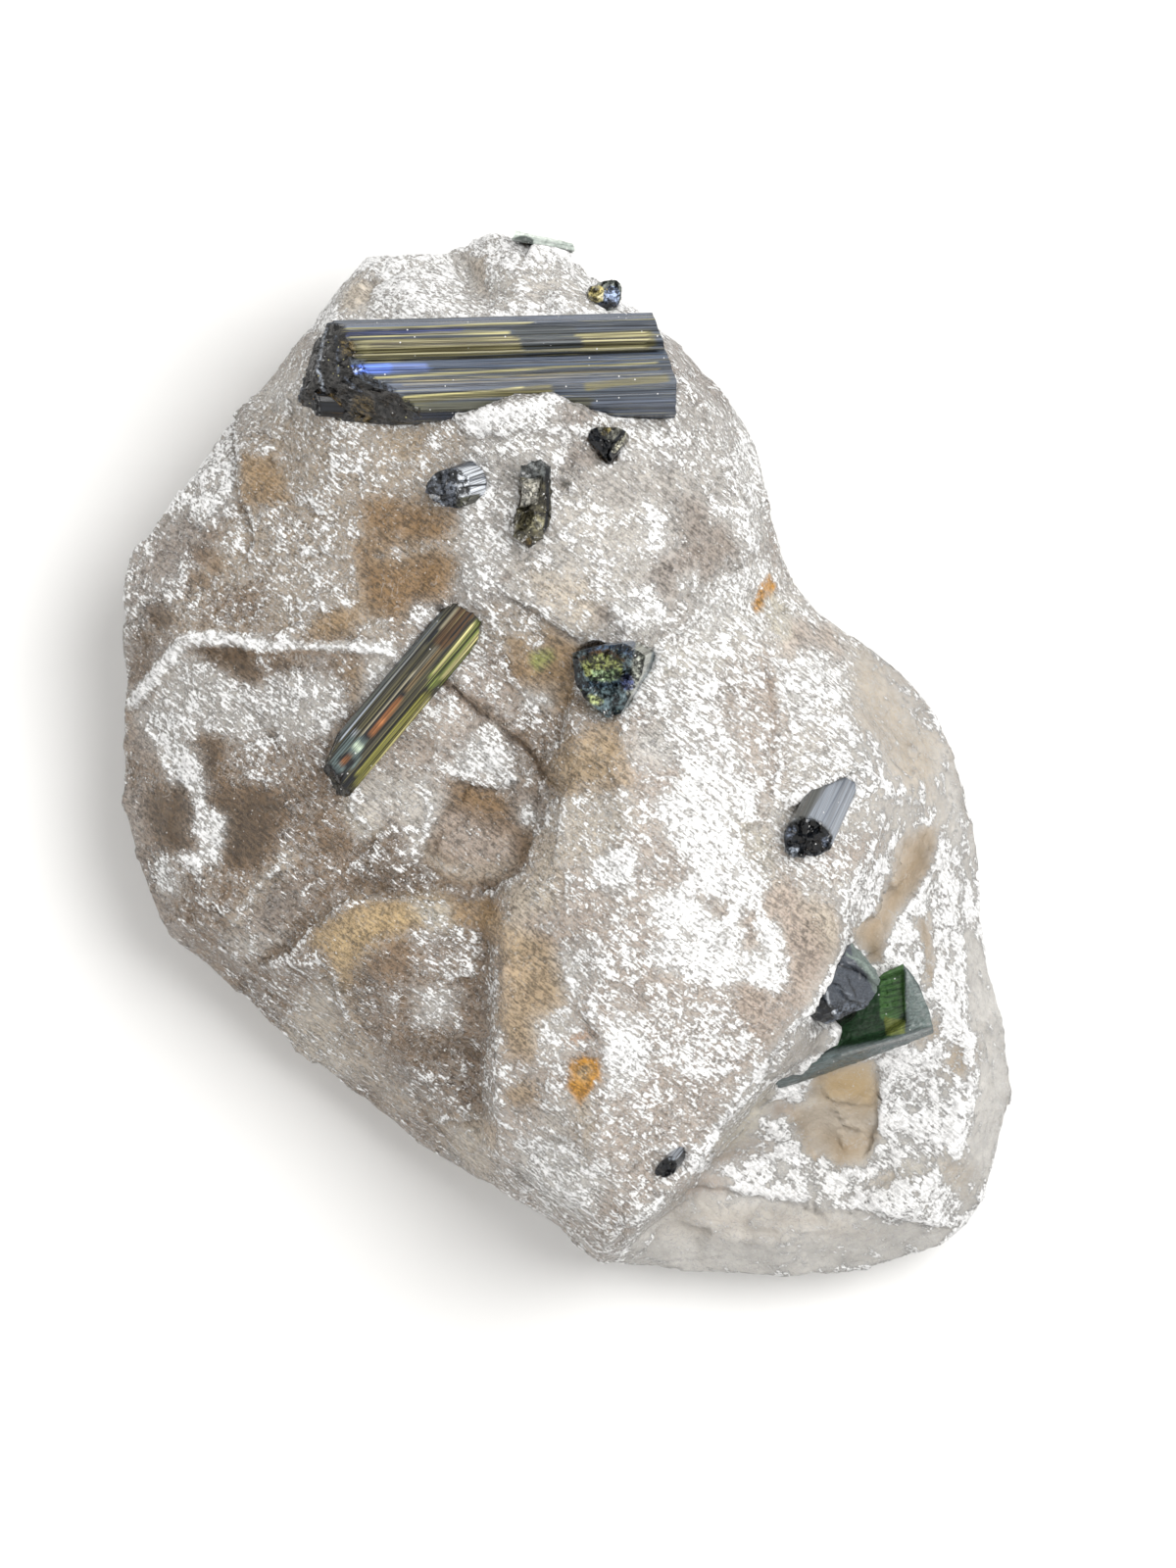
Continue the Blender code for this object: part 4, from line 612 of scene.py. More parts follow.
# Each crystal's colour, and the patches and stripes over it
LOOKS = {
    "large_bar": ((0.042, 0.051, 0.066), [
        (stripe(0.32, (34, 126.75), (66, 127.75)), STEEL),
        (stripe(0.28, (35.4, 126.0), (47, 126.4)), NAVY),
        (stripe(0.07, (35.2, 126.4), (54, 127.0)), GOLD),
        (stripe(0.07, (35.4, 125.6), (52, 126.1)), GOLD),
        (stripe(0.95, (36.6, 124.35), (66, 125.35)), OLIVE),
        *parallel(((36.8, 125.1), (66, 126.1)), ((37.2, 123.75), (66, 124.65)), 5, 0.07,
                  (0.27, 0.25, 0.13)),
        *parallel(((38, 124.9), (66, 125.9)), ((38, 123.95), (66, 124.85)), 4, 0.06, BARK),
        (area((52, 126.6), (58.5, 126.7), (59.5, 124.5), (53.5, 124.2)), (0.040, 0.046, 0.050)),
        (stripe(0.16, (37.4, 123.2), (67, 124.15)), INK),
        (stripe(0.62, (35.8, 122.35), (67.2, 123.4)), (0.036, 0.048, 0.072)),
        # The large crystal's blue band, painted brighter as a highlight where it faces the light
        (stripe(0.42, (39.5, 122.4), (43.5, 122.5)), (0.075, 0.11, 0.25)),
        (stripe(0.42, (36.0, 122.3), (39.6, 122.4)), AZURE_HIGHLIGHT),
        # A painted glint at the left end of the highlight band
        (spot(36.2, 122.3, 0.5, 0.25), (0.42, 0.52, 0.85)),
        (stripe(0.09, (38.2, 121.45), (67.2, 123.0)), GOLD),
        (stripe(0.05, (40, 121.0), (67.4, 122.4)), BRASS),
        (stripe(0.40, (39.5, 120.4), (67.4, 121.7)), STEEL),
        (stripe(0.06, (41, 120.7), (60, 121.6)), SMOKE),
        (stripe(0.07, (41.2, 119.8), (67.5, 121.0)), INK),
        (stripe(0.42, (41.4, 119.2), (56, 120.3)), OLIVE),
        (stripe(0.07, (41.2, 119.5), (53.5, 120.5)), GOLD),
        (stripe(0.40, (60, 120.6), (68, 121.4)), OLIVE),
        (stripe(0.55, (41.6, 118.3), (60, 118.9)), (0.045, 0.046, 0.034)),
        (stripe(0.8, (61, 118.4), (68.3, 118.6)), STEEL),
        (stripe(0.5, (41.8, 117.4), (62, 117.6)), DUSK),
        (area((33.4, 127), (35.2, 126.9), (35.6, 123.4), (36.2, 121.6), (38, 120.6), (40.6, 119.9),
              (42.3, 117.6), (41.8, 115.8), (31, 115.2), (30.4, 118), (31.5, 124)),
         (0.022, 0.021, 0.020)),
        (stripe(0.16, (33.2, 126.4), (32.4, 122.6), (33.0, 120.2)), FOG),
        (stripe(0.12, (34.3, 125.6), (34.6, 121.6)), STEEL),
        (stripe(0.14, (35.2, 121.4), (37.2, 119.6)), STEEL),
        (area((34.6, 125.3), (36.1, 125.1), (36.2, 123.5), (35.0, 123.7)), (0.085, 0.062, 0.025)),
        # Painted amber glints on the broken end
        (spot(33.9, 118.6, 0.9, 1.2), (0.10, 0.068, 0.026)),
        (spot(37.0, 118.2, 1.2, 1.6), (0.050, 0.036, 0.016)),
    ], GOLD, 0.9),
    "side_nub": (INK, [(spot(31.0, 119.2, 0.6, 1.0), STEEL)], AMBERGLASS),
    "diagonal_prism": ((0.024, 0.022, 0.015), [
        (stripe(0.45, (34.0, 84.6), (44.6, 97.4)), (0.022, 0.028, 0.030)),
        (stripe(0.08, (34.8, 84.6), (44.9, 96.8)), FOG),
        (stripe(0.25, (36.0, 84.8), (46.0, 96.6)), (0.045, 0.040, 0.020)),
        (stripe(0.55, (36.4, 83.9), (41.6, 90.4)), INK),
        (stripe(0.10, (36.8, 84.9), (42.4, 91.6)), SMOKE),
        (stripe(0.28, (42.0, 90.6), (45.6, 95.0)), (0.13, 0.12, 0.09)),
        (stripe(0.10, (41.8, 91.4), (44.8, 95.2)), INK),
        (stripe(0.9, (45.2, 94.8), (47.6, 97.6)), (0.050, 0.026, 0.011)),
        (stripe(0.12, (44.6, 95.4), (46.6, 97.8)), SMOKE),
        (stripe(0.10, (46.0, 95.0), (48.0, 97.4)), INK),
        (stripe(0.24, (43.6, 94.4), (44.6, 95.6)), INK),
        (stripe(0.35, (38.0, 85.2), (40.6, 88.4)), EMBER),
        (spot(39.0, 86.4, 0.4, 0.25, 50), (0.20, 0.08, 0.03)),
        (stripe(0.22, (41.4, 89.5), (44.8, 93.6)), (0.085, 0.060, 0.030)),
        (stripe(0.80, (44.4, 90.6), (49.0, 96.0)), MOSS),
        (stripe(0.13, (44.4, 91.4), (48.4, 96.4)), GOLD),
        (stripe(0.09, (44.2, 91.9), (48.0, 96.8)), INK),
        (stripe(0.20, (45.2, 90.8), (49.2, 95.6)), GOLD),
        (stripe(0.09, (44.8, 91.1), (48.8, 96.0)), (0.02, 0.028, 0.010)),
        (stripe(0.08, (45.8, 90.6), (49.6, 95.2)), (0.03, 0.04, 0.012)),
        (stripe(0.70, (36.6, 80.4), (43.4, 88.8)), (0.105, 0.100, 0.022)),
        (stripe(0.10, (36.6, 81.6), (42.8, 89.2)), INK),
        (stripe(0.08, (37.4, 80.9), (43.6, 88.6)), GOLD),
        (area((33.6, 82.2), (35.6, 85.2), (37.4, 84.4), (36.4, 81.8), (34.6, 81.2)),
         (0.050, 0.068, 0.068)),
        (spot(36.5, 83.8, 0.6, 0.45, 40), (0.30, 0.36, 0.28)), (spot(35.3, 82.4, 0.85, 0.8), INK),
        (spot(35.3, 82.5, 0.45, 0.4), EMBER), (stripe(0.12, (36.0, 85.5), (37.5, 84.4)), FOG),
        (area((32.6, 82.4), (35.4, 79.2), (36.6, 80.8), (34.6, 81.4)), INK),
    ], (0.22, 0.20, 0.09), 1.2),
    "valley_stub": (TEAL, [
        (area((59.4, 94.6), (65.6, 94.6), (65.2, 92.4), (62.8, 93.8), (59.8, 93.4)),
         (0.035, 0.058, 0.095)),
        (area((64.9, 94.4), (66.8, 94.8), (66.4, 92.6), (64.4, 88.6), (63.9, 89.2)),
         (0.22, 0.23, 0.20)),
        (area((59.2, 92.4), (60.2, 93.2), (61.6, 93.3), (63.4, 92.6), (63.6, 91.2), (61.8, 90.6),
              (59.8, 91.0)),
         (0.13, 0.145, 0.05)),
        (area((60.4, 91.6), (63.0, 91.8), (63.4, 90.9), (62.2, 90.4), (60.4, 90.6)),
         (0.16, 0.22, 0.12)),
        (stripe(0.22, (59.2, 92.6), (60.6, 93.5), (62.4, 93.4), (63.6, 92.6)), (0.035, 0.018, 0.006)),
        (stripe(0.30, (59.6, 90.2), (61.4, 90.0), (63.2, 90.4)), (0.035, 0.055, 0.075)),
        (spot(60.6, 88.6, 1.0, 0.5, -10), SPRING), (spot(64.0, 90.4, 0.7, 0.9, 20), (0.05, 0.06, 0.12)),
        (stripe(0.3, (58.8, 93.0), (58.7, 90.6), (60.0, 88.0)), INK),
    ], SPRING, 0.8),
    "right_stub": ((0.075, 0.08, 0.085), [
        (area((82.2, 76.2), (84.4, 79.8), (88.6, 81.6), (88.0, 78), (86, 73), (84.8, 74.0)), FOG),
        (stripe(0.07, (83.6, 75.6), (86.4, 80.8)), STEEL),
        (stripe(0.05, (84.6, 75.4), (87.2, 80.6)), STEEL),
        (area((80.2, 77), (82, 78.6), (84.2, 80.2), (82, 76.2)), (0.050, 0.052, 0.048)),
        (spot(82.3, 74.5, 2.6, 1.9), INK), (spot(80.7, 75.0, 0.7, 0.45, 60), STEEL),
        (spot(80.9, 73.2, 0.6, 0.35), FOG), (spot(84.2, 74.2, 0.6, 0.35, 60), STEEL),
    ], EMBER, 0.3),
    "small_stub": ((0.040, 0.045, 0.055), [
        (area((46.7, 112.2), (49.6, 112.6), (49.6, 109.6), (46.7, 109.0)), SILVER),
        (stripe(0.10, (46.8, 110.2), (49.6, 110.6)), INK),
        (stripe(0.08, (46.8, 110.9), (49.6, 111.2)), STEEL),
        (area((46.6, 109.2), (49, 109.6), (48.6, 108.4), (46.6, 108.2)), (0.03, 0.03, 0.02)),
        (spot(46.2, 110.6, 0.4, 0.9), (0.08, 0.09, 0.11)),
        (stripe(0.10, (44.3, 111.6), (44.4, 109.6), (45.2, 108.4)), FOG),
    ], FOG),
    "black_chip": (INK, [(spot(69.0, 42.4, 1.0, 0.5, 50), FOG)], FOG),
    "shard": (INK, [
        (area((60.4, 117.2), (64.0, 117.2), (63.4, 116.0), (62.4, 114.9), (61.2, 116.0)),
         (0.095, 0.095, 0.080)),
        # A painted gold glint on the upper face
        (spot(62.0, 116.2, 0.8, 0.35, 50), BRASS),
        (stripe(0.28, (62.7, 114.1), (64.3, 115.9)), (0.30, 0.29, 0.23)),
    ], BRASS),
    "top_nub": ((0.10, 0.11, 0.10), [
        (spot(60.9, 130.0, 0.9, 0.9), (0.32, 0.28, 0.13)),
        (spot(62.4, 129.8, 0.8, 1.1), (0.20, 0.25, 0.36)),
        (spot(62, 128.9, 1.4, 0.4), DUSK),
    ], BRASS),
    "broken_mass": ((0.040, 0.036, 0.022), [
        (area((52.4, 113.4), (56.4, 113.4), (56.2, 110.8), (52.8, 111.4)), (0.06, 0.065, 0.065)),
        (area((53.2, 111.0), (55.2, 111.2), (54.8, 108.6), (53.0, 108.4)), (0.36, 0.35, 0.31)),
        (spot(54.6, 106.6, 0.9, 0.8), (0.14, 0.13, 0.08)),
        (spot(53.6, 104.4, 0.9, 0.5, 40), (0.05, 0.033, 0.008)),
        (stripe(0.2, (55.8, 112), (55.9, 108.0), (55.6, 106)), INK),
    ], (0.30, 0.27, 0.17)),
    "dark_wedge": ((0.050, 0.058, 0.072), [
        (area((86.6, 64), (88.2, 63.2), (90, 60.4), (89.4, 58.4), (88.4, 60.6), (87.2, 62)),
         (0.10, 0.125, 0.115)),
        (area((82, 58.2), (83.6, 59), (84.6, 57.4), (85.2, 56), (83, 55.4), (81.8, 56.6)), INK),
        (stripe(0.10, (84.4, 58.8), (84.6, 57.6), (85.2, 56.6)), SILVER),
        (stripe(0.14, (86.4, 62.6), (88.0, 61.8), (89.2, 60.2)), (0.16, 0.20, 0.18)),
        (stripe(0.10, (85.4, 61.6), (87.2, 61.0), (88.4, 60.2)), INK),
        (stripe(0.08, (85.4, 59.4), (86.8, 58.4)), FOG),
        (stripe(0.07, (86.4, 60.4), (87.4, 58.2)), INK),
    ], FOG, 0.25),
    "green_blade": ((0.055, 0.072, 0.070), [
        (area((84, 54.6), (86, 58), (89.8, 60.4), (92.2, 61.6), (92.4, 54.6), (90, 54), (85, 53)),
         BOTTLE),
        (area((89.8, 60.8), (92.2, 61.8), (92.4, 57), (91.4, 55.8), (89.8, 56)), LEAF),
        *parallel(((90.0, 60.0), (92.2, 60.4)), ((90.0, 57.0), (92.2, 57.4)), 6, 0.06, BOTTLE),
        (area((90.2, 56.2), (92.4, 56), (92.4, 54.6), (90.4, 54.4)), MOSS),
        (stripe(0.7, (79.2, 49.6), (84.6, 51.6), (90, 53.0), (94.8, 54.4)), (0.075, 0.098, 0.100)),
        (stripe(0.16, (86, 52.4), (92, 54), (95, 55)), (0.17, 0.19, 0.19)),
        (area((92.6, 60.8), (94.8, 57.6), (95.3, 55.2), (92.8, 55)), (0.085, 0.11, 0.105)),
    ], LEAF, 0.4),
    "top_splinter": ((0.30, 0.34, 0.31), [
        (stripe(0.2, (52.6, 136.3), (58.6, 135.3)), (0.46, 0.50, 0.46)),
        (spot(53.4, 135.2, 1.1, 0.8), (0.05, 0.06, 0.055)),
    ], FOG, 0.3),
}


def true_place(across, up, height):
    """The place of a reading. What lies below the sheet is further out than it reads."""
    spread = (EYE_HEIGHT - height) / (EYE_HEIGHT - SHEET_HEIGHT)
    x = EYE_ACROSS + (across - EYE_ACROSS) * spread - MIDDLE_ACROSS
    y = EYE_UP + (up - EYE_UP) * spread - MIDDLE_UP
    return Vector((x, y, height)) * MM


def readings(places):
    """The (across, up) readings of an array of places in metres."""
    x, y, z = places.T / MM
    spread = (EYE_HEIGHT - z) / (EYE_HEIGHT - SHEET_HEIGHT)
    across = EYE_ACROSS + (x + MIDDLE_ACROSS - EYE_ACROSS) / spread
    up = EYE_UP + (y + MIDDLE_UP - EYE_UP) / spread
    return np.column_stack([across, up])


def places_of(mesh):
    flat = np.empty(len(mesh.vertices) * 3)
    mesh.vertices.foreach_get("co", flat)
    return flat.reshape(-1, 3)


def normals_of(mesh):
    flat = np.empty(len(mesh.vertices) * 3)
    mesh.vertices.foreach_get("normal", flat)
    return flat.reshape(-1, 3)


def move_to(mesh, places):
    mesh.vertices.foreach_set("co", places.ravel())
    mesh.update()


def link(obj):
    bpy.context.scene.collection.objects.link(obj)
    return obj


def baked(obj):
    """Replaces the object's mesh by its evaluated one, and drops its modifiers."""
    graph = bpy.context.evaluated_depsgraph_get()
    mesh = bpy.data.meshes.new_from_object(obj.evaluated_get(graph))
    obj.modifiers.clear()
    obj.data = mesh
    return obj


def smooth_shaded(mesh):
    mesh.polygons.foreach_set("use_smooth", [True] * len(mesh.polygons))


def store(mesh, name, values):
    """Keeps an array as a point attribute: numbers, or colours with three columns."""
    if values.ndim == 1:
        mesh.attributes.new(name, "FLOAT", "POINT").data.foreach_set("value", values)
        return
    full = np.column_stack([values, np.ones(len(values))])
    mesh.attributes.new(name, "FLOAT_COLOR", "POINT").data.foreach_set("color", full.ravel())


def share_inside(sheet, shape, soft):
    """For each reading, 1 inside the shape, 0 outside, and a step as wide as soft between."""
    share = np.clip(shape(sheet) / soft + 0.5, 0, 1)
    return share * share * (3 - 2 * share)


def painted(sheet, base, patches, soft):
    """Colours of the readings: the base, then each patch over it."""
    colours = np.tile(np.array(base), (len(sheet), 1))
    for shape, colour in patches:
        share = share_inside(sheet, shape, soft)[:, None]
        colours = colours * (1 - share) + np.array(colour) * share
    return colours


def frost_of(sheet, fine_sheet):
    """How thick the frost lies at each reading."""
    frost = np.full(len(sheet), BARE_FROST)
    layers = [(sheet, FROST_SOFT, REGIONS), (fine_sheet, VEIN_SOFT, VEINS + STAINS)]
    for places, soft, regions in layers:
        for shape, _, strength in regions:
            share = share_inside(places, shape, soft)
            frost = frost * (1 - share) + strength * share
    return frost


def wandering(places, size, reach, octaves=3):
    """Two columns of smooth noise, to make the edges of patches wander."""
    scaled = places / (size * MM)
    waves = [noise.turbulence_vector(Vector(p), octaves, False) for p in scaled]
    return np.array(waves)[:, :2] * reach


def chips(point, size, lean):
    """The height at a point of flat chips of that size, each leaning its own way."""
    place = point / size
    centre = noise.voronoi(place)[1][0]
    return (place - centre).dot(noise.noise_vector(centre * 7.3)) * size * lean


def edge_rise(sheet, line, left_rise, right_rise, left_reach, right_reach):
    """How far each reading is raised by an edge that follows the line."""
    total = np.zeros(len(sheet))
    nearest = np.full(len(sheet), np.inf)
    lengths = [math.dist(a, b) for a, b in zip(line, line[1:])]
    travelled = 0.0
    for start, end, length in zip(line, line[1:], lengths):
        ahead = (np.array(end) - np.array(start)) / length
        offset = sheet - np.array(start)
        along = np.clip(offset @ ahead, 0, length)
        away = offset - along[:, None] * ahead
        distance = np.hypot(away[:, 0], away[:, 1])
        on_left = ahead[0] * offset[:, 1] - ahead[1] * offset[:, 0] > 0
        at = travelled + along
        ends = np.clip(np.minimum(at, sum(lengths) - at) / EDGE_FADE, 0, 1)
        reach = np.where(on_left, left_reach, right_reach)
        height = np.where(on_left, left_rise, right_rise) * ends * np.exp(-(distance / reach) ** 1.5)
        closer = distance < nearest
        total[closer] = height[closer]
        nearest = np.minimum(nearest, distance)
        travelled += length
    return total


def edges_raised(sheet, edges):
    return sum(edge_rise(sheet, *edge) for edge in edges)


def closed_seats(mesh):
    """Presses the walls of the crystals' seats against the crystals."""
    trees = []
    for name, node in nodes.items():
        if name != "quartz_matrix":
            corners = [vertex.co for vertex in node.data.vertices]
            faces = [face.vertices for face in node.data.polygons]
            trees.append(BVHTree.FromPolygons(corners, faces))
    for vertex in mesh.vertices:
        for tree in trees:
            near = tree.find_nearest(vertex.co, SEAT_REACH * MM)[0]
            if near is not None:
                inward = (near - vertex.co).normalized()
                vertex.co = near + inward * SEAT_PRESS * MM
                break


def with_lips(mesh):
    """Adds the lips, which the even mesh then joins to the lump."""
    bm = bmesh.new()
    bm.from_mesh(mesh)
    for corners in LIPS:
        bmesh.ops.convex_hull(bm, input=[bm.verts.new(true_place(*corner)) for corner in corners])
    bm.to_mesh(mesh)
    bm.free()


def roughened(mesh):
    """Breaks the even mesh into chips and sharp edges. Frosted places are rougher."""
    places = places_of(mesh)
    sheet = readings(places) + wandering(places, *FINE_WANDER)
    rises = edges_raised(sheet, EDGES)
    for shape, rise, soft in LIFTS:
        rises += rise * share_inside(sheet, shape, soft)
    rises *= np.clip(normals_of(mesh)[:, 2] * 2.5, 0, 1)
    frosted = np.clip(frost_of(sheet, sheet) * 1.6, 0, 1)
    rough = SMOOTH_SHARE + (1 - SMOOTH_SHARE) * frosted
    for i, place in enumerate(places / MM):
        point = Vector(place)
        rises[i] += chips(point, *LARGE_CHIPS) + chips(point, *SMALL_CHIPS) * rough[i]
        rises[i] += noise.fractal(point, 0.7, 2.1, 3) * GRAIN_HEIGHT * rough[i]
    places += normals_of(mesh) * rises[:, None] * MM
    places[:, 2] = np.maximum(places[:, 2], 0.0)
    move_to(mesh, places)


def edge_cues(mesh):
    """How much each vertex stands out from its neighbours: above 0 on a ridge."""
    places = places_of(mesh)
    ends = np.empty(len(mesh.edges) * 2, dtype=np.int64)
    mesh.edges.foreach_get("vertices", ends)
    first, second = ends.reshape(-1, 2).T
    count = np.bincount(ends, minlength=len(places))
    cue = places
    for _ in range(2):
        total = np.zeros_like(cue)
        for column in range(3):
            total[:, column] = np.bincount(first, cue[second, column], len(places))
            total[:, column] += np.bincount(second, cue[first, column], len(places))
        cue = total / count[:, None]
    return ((places - cue) * normals_of(mesh)).sum(axis=1) / MM


def quartz_surface():
    """The quartz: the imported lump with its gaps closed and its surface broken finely."""
    lump = link(bpy.data.objects.new("quartz_surface", nodes["quartz_matrix"].data.copy()))
    closed_seats(lump.data)
    with_lips(lump.data)
    remesh = lump.modifiers.new("even mesh", "REMESH")
    remesh.mode = "VOXEL"
    remesh.voxel_size = QUARTZ_VOXEL * MM
    baked(lump)
    roughened(lump.data)
    lump.data.calc_loop_triangles()
    fewer = lump.modifiers.new("fewer faces", "DECIMATE")
    fewer.ratio = QUARTZ_TRIANGLES / len(lump.data.loop_triangles)
    baked(lump)
    smooth_shaded(lump.data)
    places = places_of(lump.data)
    fine = readings(places) + wandering(places, *FINE_WANDER)
    dressed(lump.data, fine, fine + wandering(places, *BROAD_WANDER))
    return lump


def dressed(mesh, fine, sheet):
    """Keeps the quartz's tone and frost at each vertex. The places of veins and stains are
    read from fine, and those of broad regions from sheet, whose readings wander further."""
    tones = [(shape, colour) for shape, colour, _ in REGIONS]
    details = [(shape, colour) for shape, colour, _ in VEINS + STAINS]
    colours = painted(sheet, BASE_TONE, tones, TONE_SOFT)
    for shape, colour in details:
        share = share_inside(fine, shape, VEIN_SOFT)[:, None]
        colours = colours * (1 - share) + np.array(colour) * share
    store(mesh, "tone", colours)
    store(mesh, "crisp", 1 - share_inside(sheet, SOFT_GROUND, SOFT_EDGE))
    frost = frost_of(sheet, fine)
    cues = np.clip(edge_cues(mesh) * RIDGE_FROST, *RIDGE_LIMITS)
    store(mesh, "frost", np.clip(frost + cues * np.clip(frost * 4 - 0.4, 0, 1), 0, 1))


def frost_crust(lump):
    """The frost: a thin crust over the quartz, wherever it may lie."""
    frost = np.empty(len(lump.data.vertices))
    lump.data.attributes["frost"].data.foreach_get("value", frost)
    bm = bmesh.new()
    bm.from_mesh(lump.data)
    bare = [face for face in bm.faces if max(frost[v.index] for v in face.verts) < CRUST_START]
    bmesh.ops.delete(bm, geom=bare, context="FACES")
    mesh = bpy.data.meshes.new("quartz_frost")
    bm.to_mesh(mesh)
    bm.free()
    move_to(mesh, places_of(mesh) + normals_of(mesh) * FROST_LIFT * MM)
    return link(bpy.data.objects.new("quartz_frost", mesh))


def placing(tip, axis, turn):
    """The matrix that puts a crystal's exposed end at the tip, with its length along the axis."""
    along = Vector(axis).normalized()
    level = Vector((0, 0, 1)).cross(along).normalized()
    side = along.cross(level)
    turned = Matrix((level, side, along)).transposed().to_4x4()
    spin = Matrix.Rotation(math.radians(turn), 4, "Z")
    return Matrix.Translation(true_place(*tip)) @ turned @ spin


def faceted_outline(width, depth, seed, triangle=ROUND_TRIANGLE):
    """A tourmaline's cross-section: a rounded triangle of flat faces with fine grooves."""
    draw = np.random.default_rng(seed)
    angles = 2 * math.pi * (np.arange(FACES) + draw.uniform(-0.3, 0.3, FACES)) / FACES
    reach = 0.985 + triangle * np.cos(3 * angles)
    points = []
    for i in range(OUTLINE_POINTS):
        angle = 2 * math.pi * i / OUTLINE_POINTS
        facing = np.cos(angle - angles)
        radius = (reach[facing > 0.3] / facing[facing > 0.3]).min()
        radius = min(radius, 1.03 + triangle * math.cos(3 * angle))
        groove = noise.noise(Vector((angle * 9.0, seed, 0)))
        groove += noise.noise(Vector((angle * 21.0, seed, 5)))
        radius *= 1 - GROOVE_DEPTH + groove * GROOVE_DEPTH
        points.append((radius * width / 2 * math.cos(angle), radius * depth / 2 * math.sin(angle)))
    return points


def bar_profile():
    """The large crystal's cross-section, with fine grooves along its faces."""
    corners = [Vector(corner) for corner in BAR_CORNERS]
    points = []
    for start, end in zip(corners, corners[1:] + corners[:1]):
        steps = max(2, round((end - start).length / BAR_STEP))
        outward = Vector((start - end).orthogonal()).normalized()
        for i in range(steps):
            place = start.lerp(end, i / steps)
            groove = noise.noise(Vector((place.x * 1.9, place.y * 1.9, 0)))
            groove += noise.noise(Vector((place.x * 4.6, place.y * 4.6, 3)))
            points.append(tuple(place + outward * (groove - 0.4) * BAR_GROOVE))
    return points


def bar_foot(x, y):
    """How far the large crystal reaches at its whole end, which is cut on a slant."""
    levels = [level - slope * (x - at) for (at, level), slope in BAR_FOOT]
    return max(levels) + 0.12 * noise.noise(Vector((x, y, 0.0)))


def broken_end(cuts, roughness, seed, pit=0.0):
    """A function that gives how high an end reaches at (x, y): its cuts, hackle on them, and
    a pit of that depth in the middle."""
    def height(x, y):
        levels = []
        for (px, py, pz), (nx, ny, nz) in cuts:
            levels.append(pz - (nx * (x - px) + ny * (y - py)) / nz)
        place = Vector((x, y, seed))
        hackled = chips(place, 1.7, roughness) + chips(place, 0.7, roughness)
        return min(levels) + hackled - pit * math.exp(-(x * x + y * y) / 2.6)
    return height


def column(name, place, outline, length, top, foot=None, rings=36, inner=14):
    """A crystal: its cross-section drawn out along Z, broken at its end or ends.

    Keeps the crystal's own coordinates in millimetres as grain, and hackly on the ends.
    """
    bm = bmesh.new()
    grain = bm.verts.layers.float_vector.new("grain")
    hackly = bm.verts.layers.float.new("hackly")

    def vertex(x, y, z, on_end):
        made = bm.verts.new(place @ (Vector((x, y, z)) * MM))
        made[grain] = (x, y, z)
        made[hackly] = on_end
        return made

    def bottom(x, y):
        return foot(x, y) if foot else -length

    def end_loop(reach, share):
        inward = [(x * share, y * share) for x, y in outline]
        return [vertex(x, y, reach(x, y), 1.0) for x, y in inward]

    loops = [end_loop(top, 1 - j / inner) for j in range(inner - 1, -1, -1)]
    for k in range(1, rings + 1):
        down = k / rings
        loops.append([
            vertex(x, y, top(x, y) * (1 - down) + bottom(x, y) * down, 0.0) for x, y in outline
        ])
    if foot:
        loops += [end_loop(foot, 1 - j / inner) for j in range(1, inner)]
    for first, second in zip(loops, loops[1:]):
        for i in range(len(outline)):
            bm.faces.new((first[i], first[i - 1], second[i - 1], second[i]))
    bm.faces.new(loops[0])
    bm.faces.new(loops[-1])
    bmesh.ops.triangulate(bm, faces=[face for face in bm.faces if len(face.verts) > 4])
    bmesh.ops.recalc_face_normals(bm, faces=bm.faces[:])
    mesh = bpy.data.meshes.new(name)
    bm.to_mesh(mesh)
    bm.free()
    smooth_shaded(mesh)
    mesh.set_sharp_from_angle(angle=math.radians(SHARP_ANGLE))
    return link(bpy.data.objects.new(name, mesh))


def crystal(name):
    facts = CRYSTALS[name]
    width, depth, length = facts["size"]
    seed = sum(ord(letter) for letter in name)
    outline = faceted_outline(width, depth, seed, facts.get("triangle", ROUND_TRIANGLE))
    top = broken_end(facts["cuts"], 0.8, seed, facts.get("pit", 0.0))
    return column(name, placing(facts["tip"], facts["axis"], facts["turn"]), outline, length, top)


def broken_piece(name, voxel, shape):
    """A crystal broken all round: its solid, remeshed finely, with shape(point) added to it."""
    piece = link(bpy.data.objects.new(name, nodes["tourmaline_" + name].data.copy()))
    remesh = piece.modifiers.new("even mesh", "REMESH")
    remesh.mode = "VOXEL"
    remesh.voxel_size = voxel * MM
    baked(piece)
    mesh = piece.data
    places = places_of(mesh)
    rises = shape(places)
    move_to(mesh, places + normals_of(mesh) * rises[:, None] * MM)
    smooth_shaded(mesh)
    return piece


def keep_grain(mesh, along, hackly):
    """Keeps each vertex's place as grain, its third number measured along the crystal."""
    forward = Vector(along).normalized()
    side = forward.orthogonal().normalized()
    axes = np.array([side, forward.cross(side), forward])
    grain = places_of(mesh) @ axes.T / MM
    mesh.attributes.new("grain", "FLOAT_VECTOR", "POINT").data.foreach_set("vector", grain.ravel())
    store(mesh, "hackly", hackly)


def wedge_shape(places):
    """Ledges across the dark wedge, and hackle all over it."""
    rises = edges_raised(readings(places), WEDGE_LEDGES)
    rises += [chips(Vector(place), 1.8, 0.25) for place in places / MM]
    rises += [chips(Vector(place), 0.7, 0.08) for place in places / MM]
    return rises - 0.15


def blade_shape(places):
    """The hollow between the blade's ridge and its inner face, and a raised ridge."""
    sheet = readings(places)
    rises = edges_raised(sheet, BLADE_LEDGES) - 1.3 * share_inside(sheet, BLADE_HOLLOW, 0.7)
    rises += [chips(Vector(place), 0.8, 0.20) for place in places / MM]
    return rises - 0.12


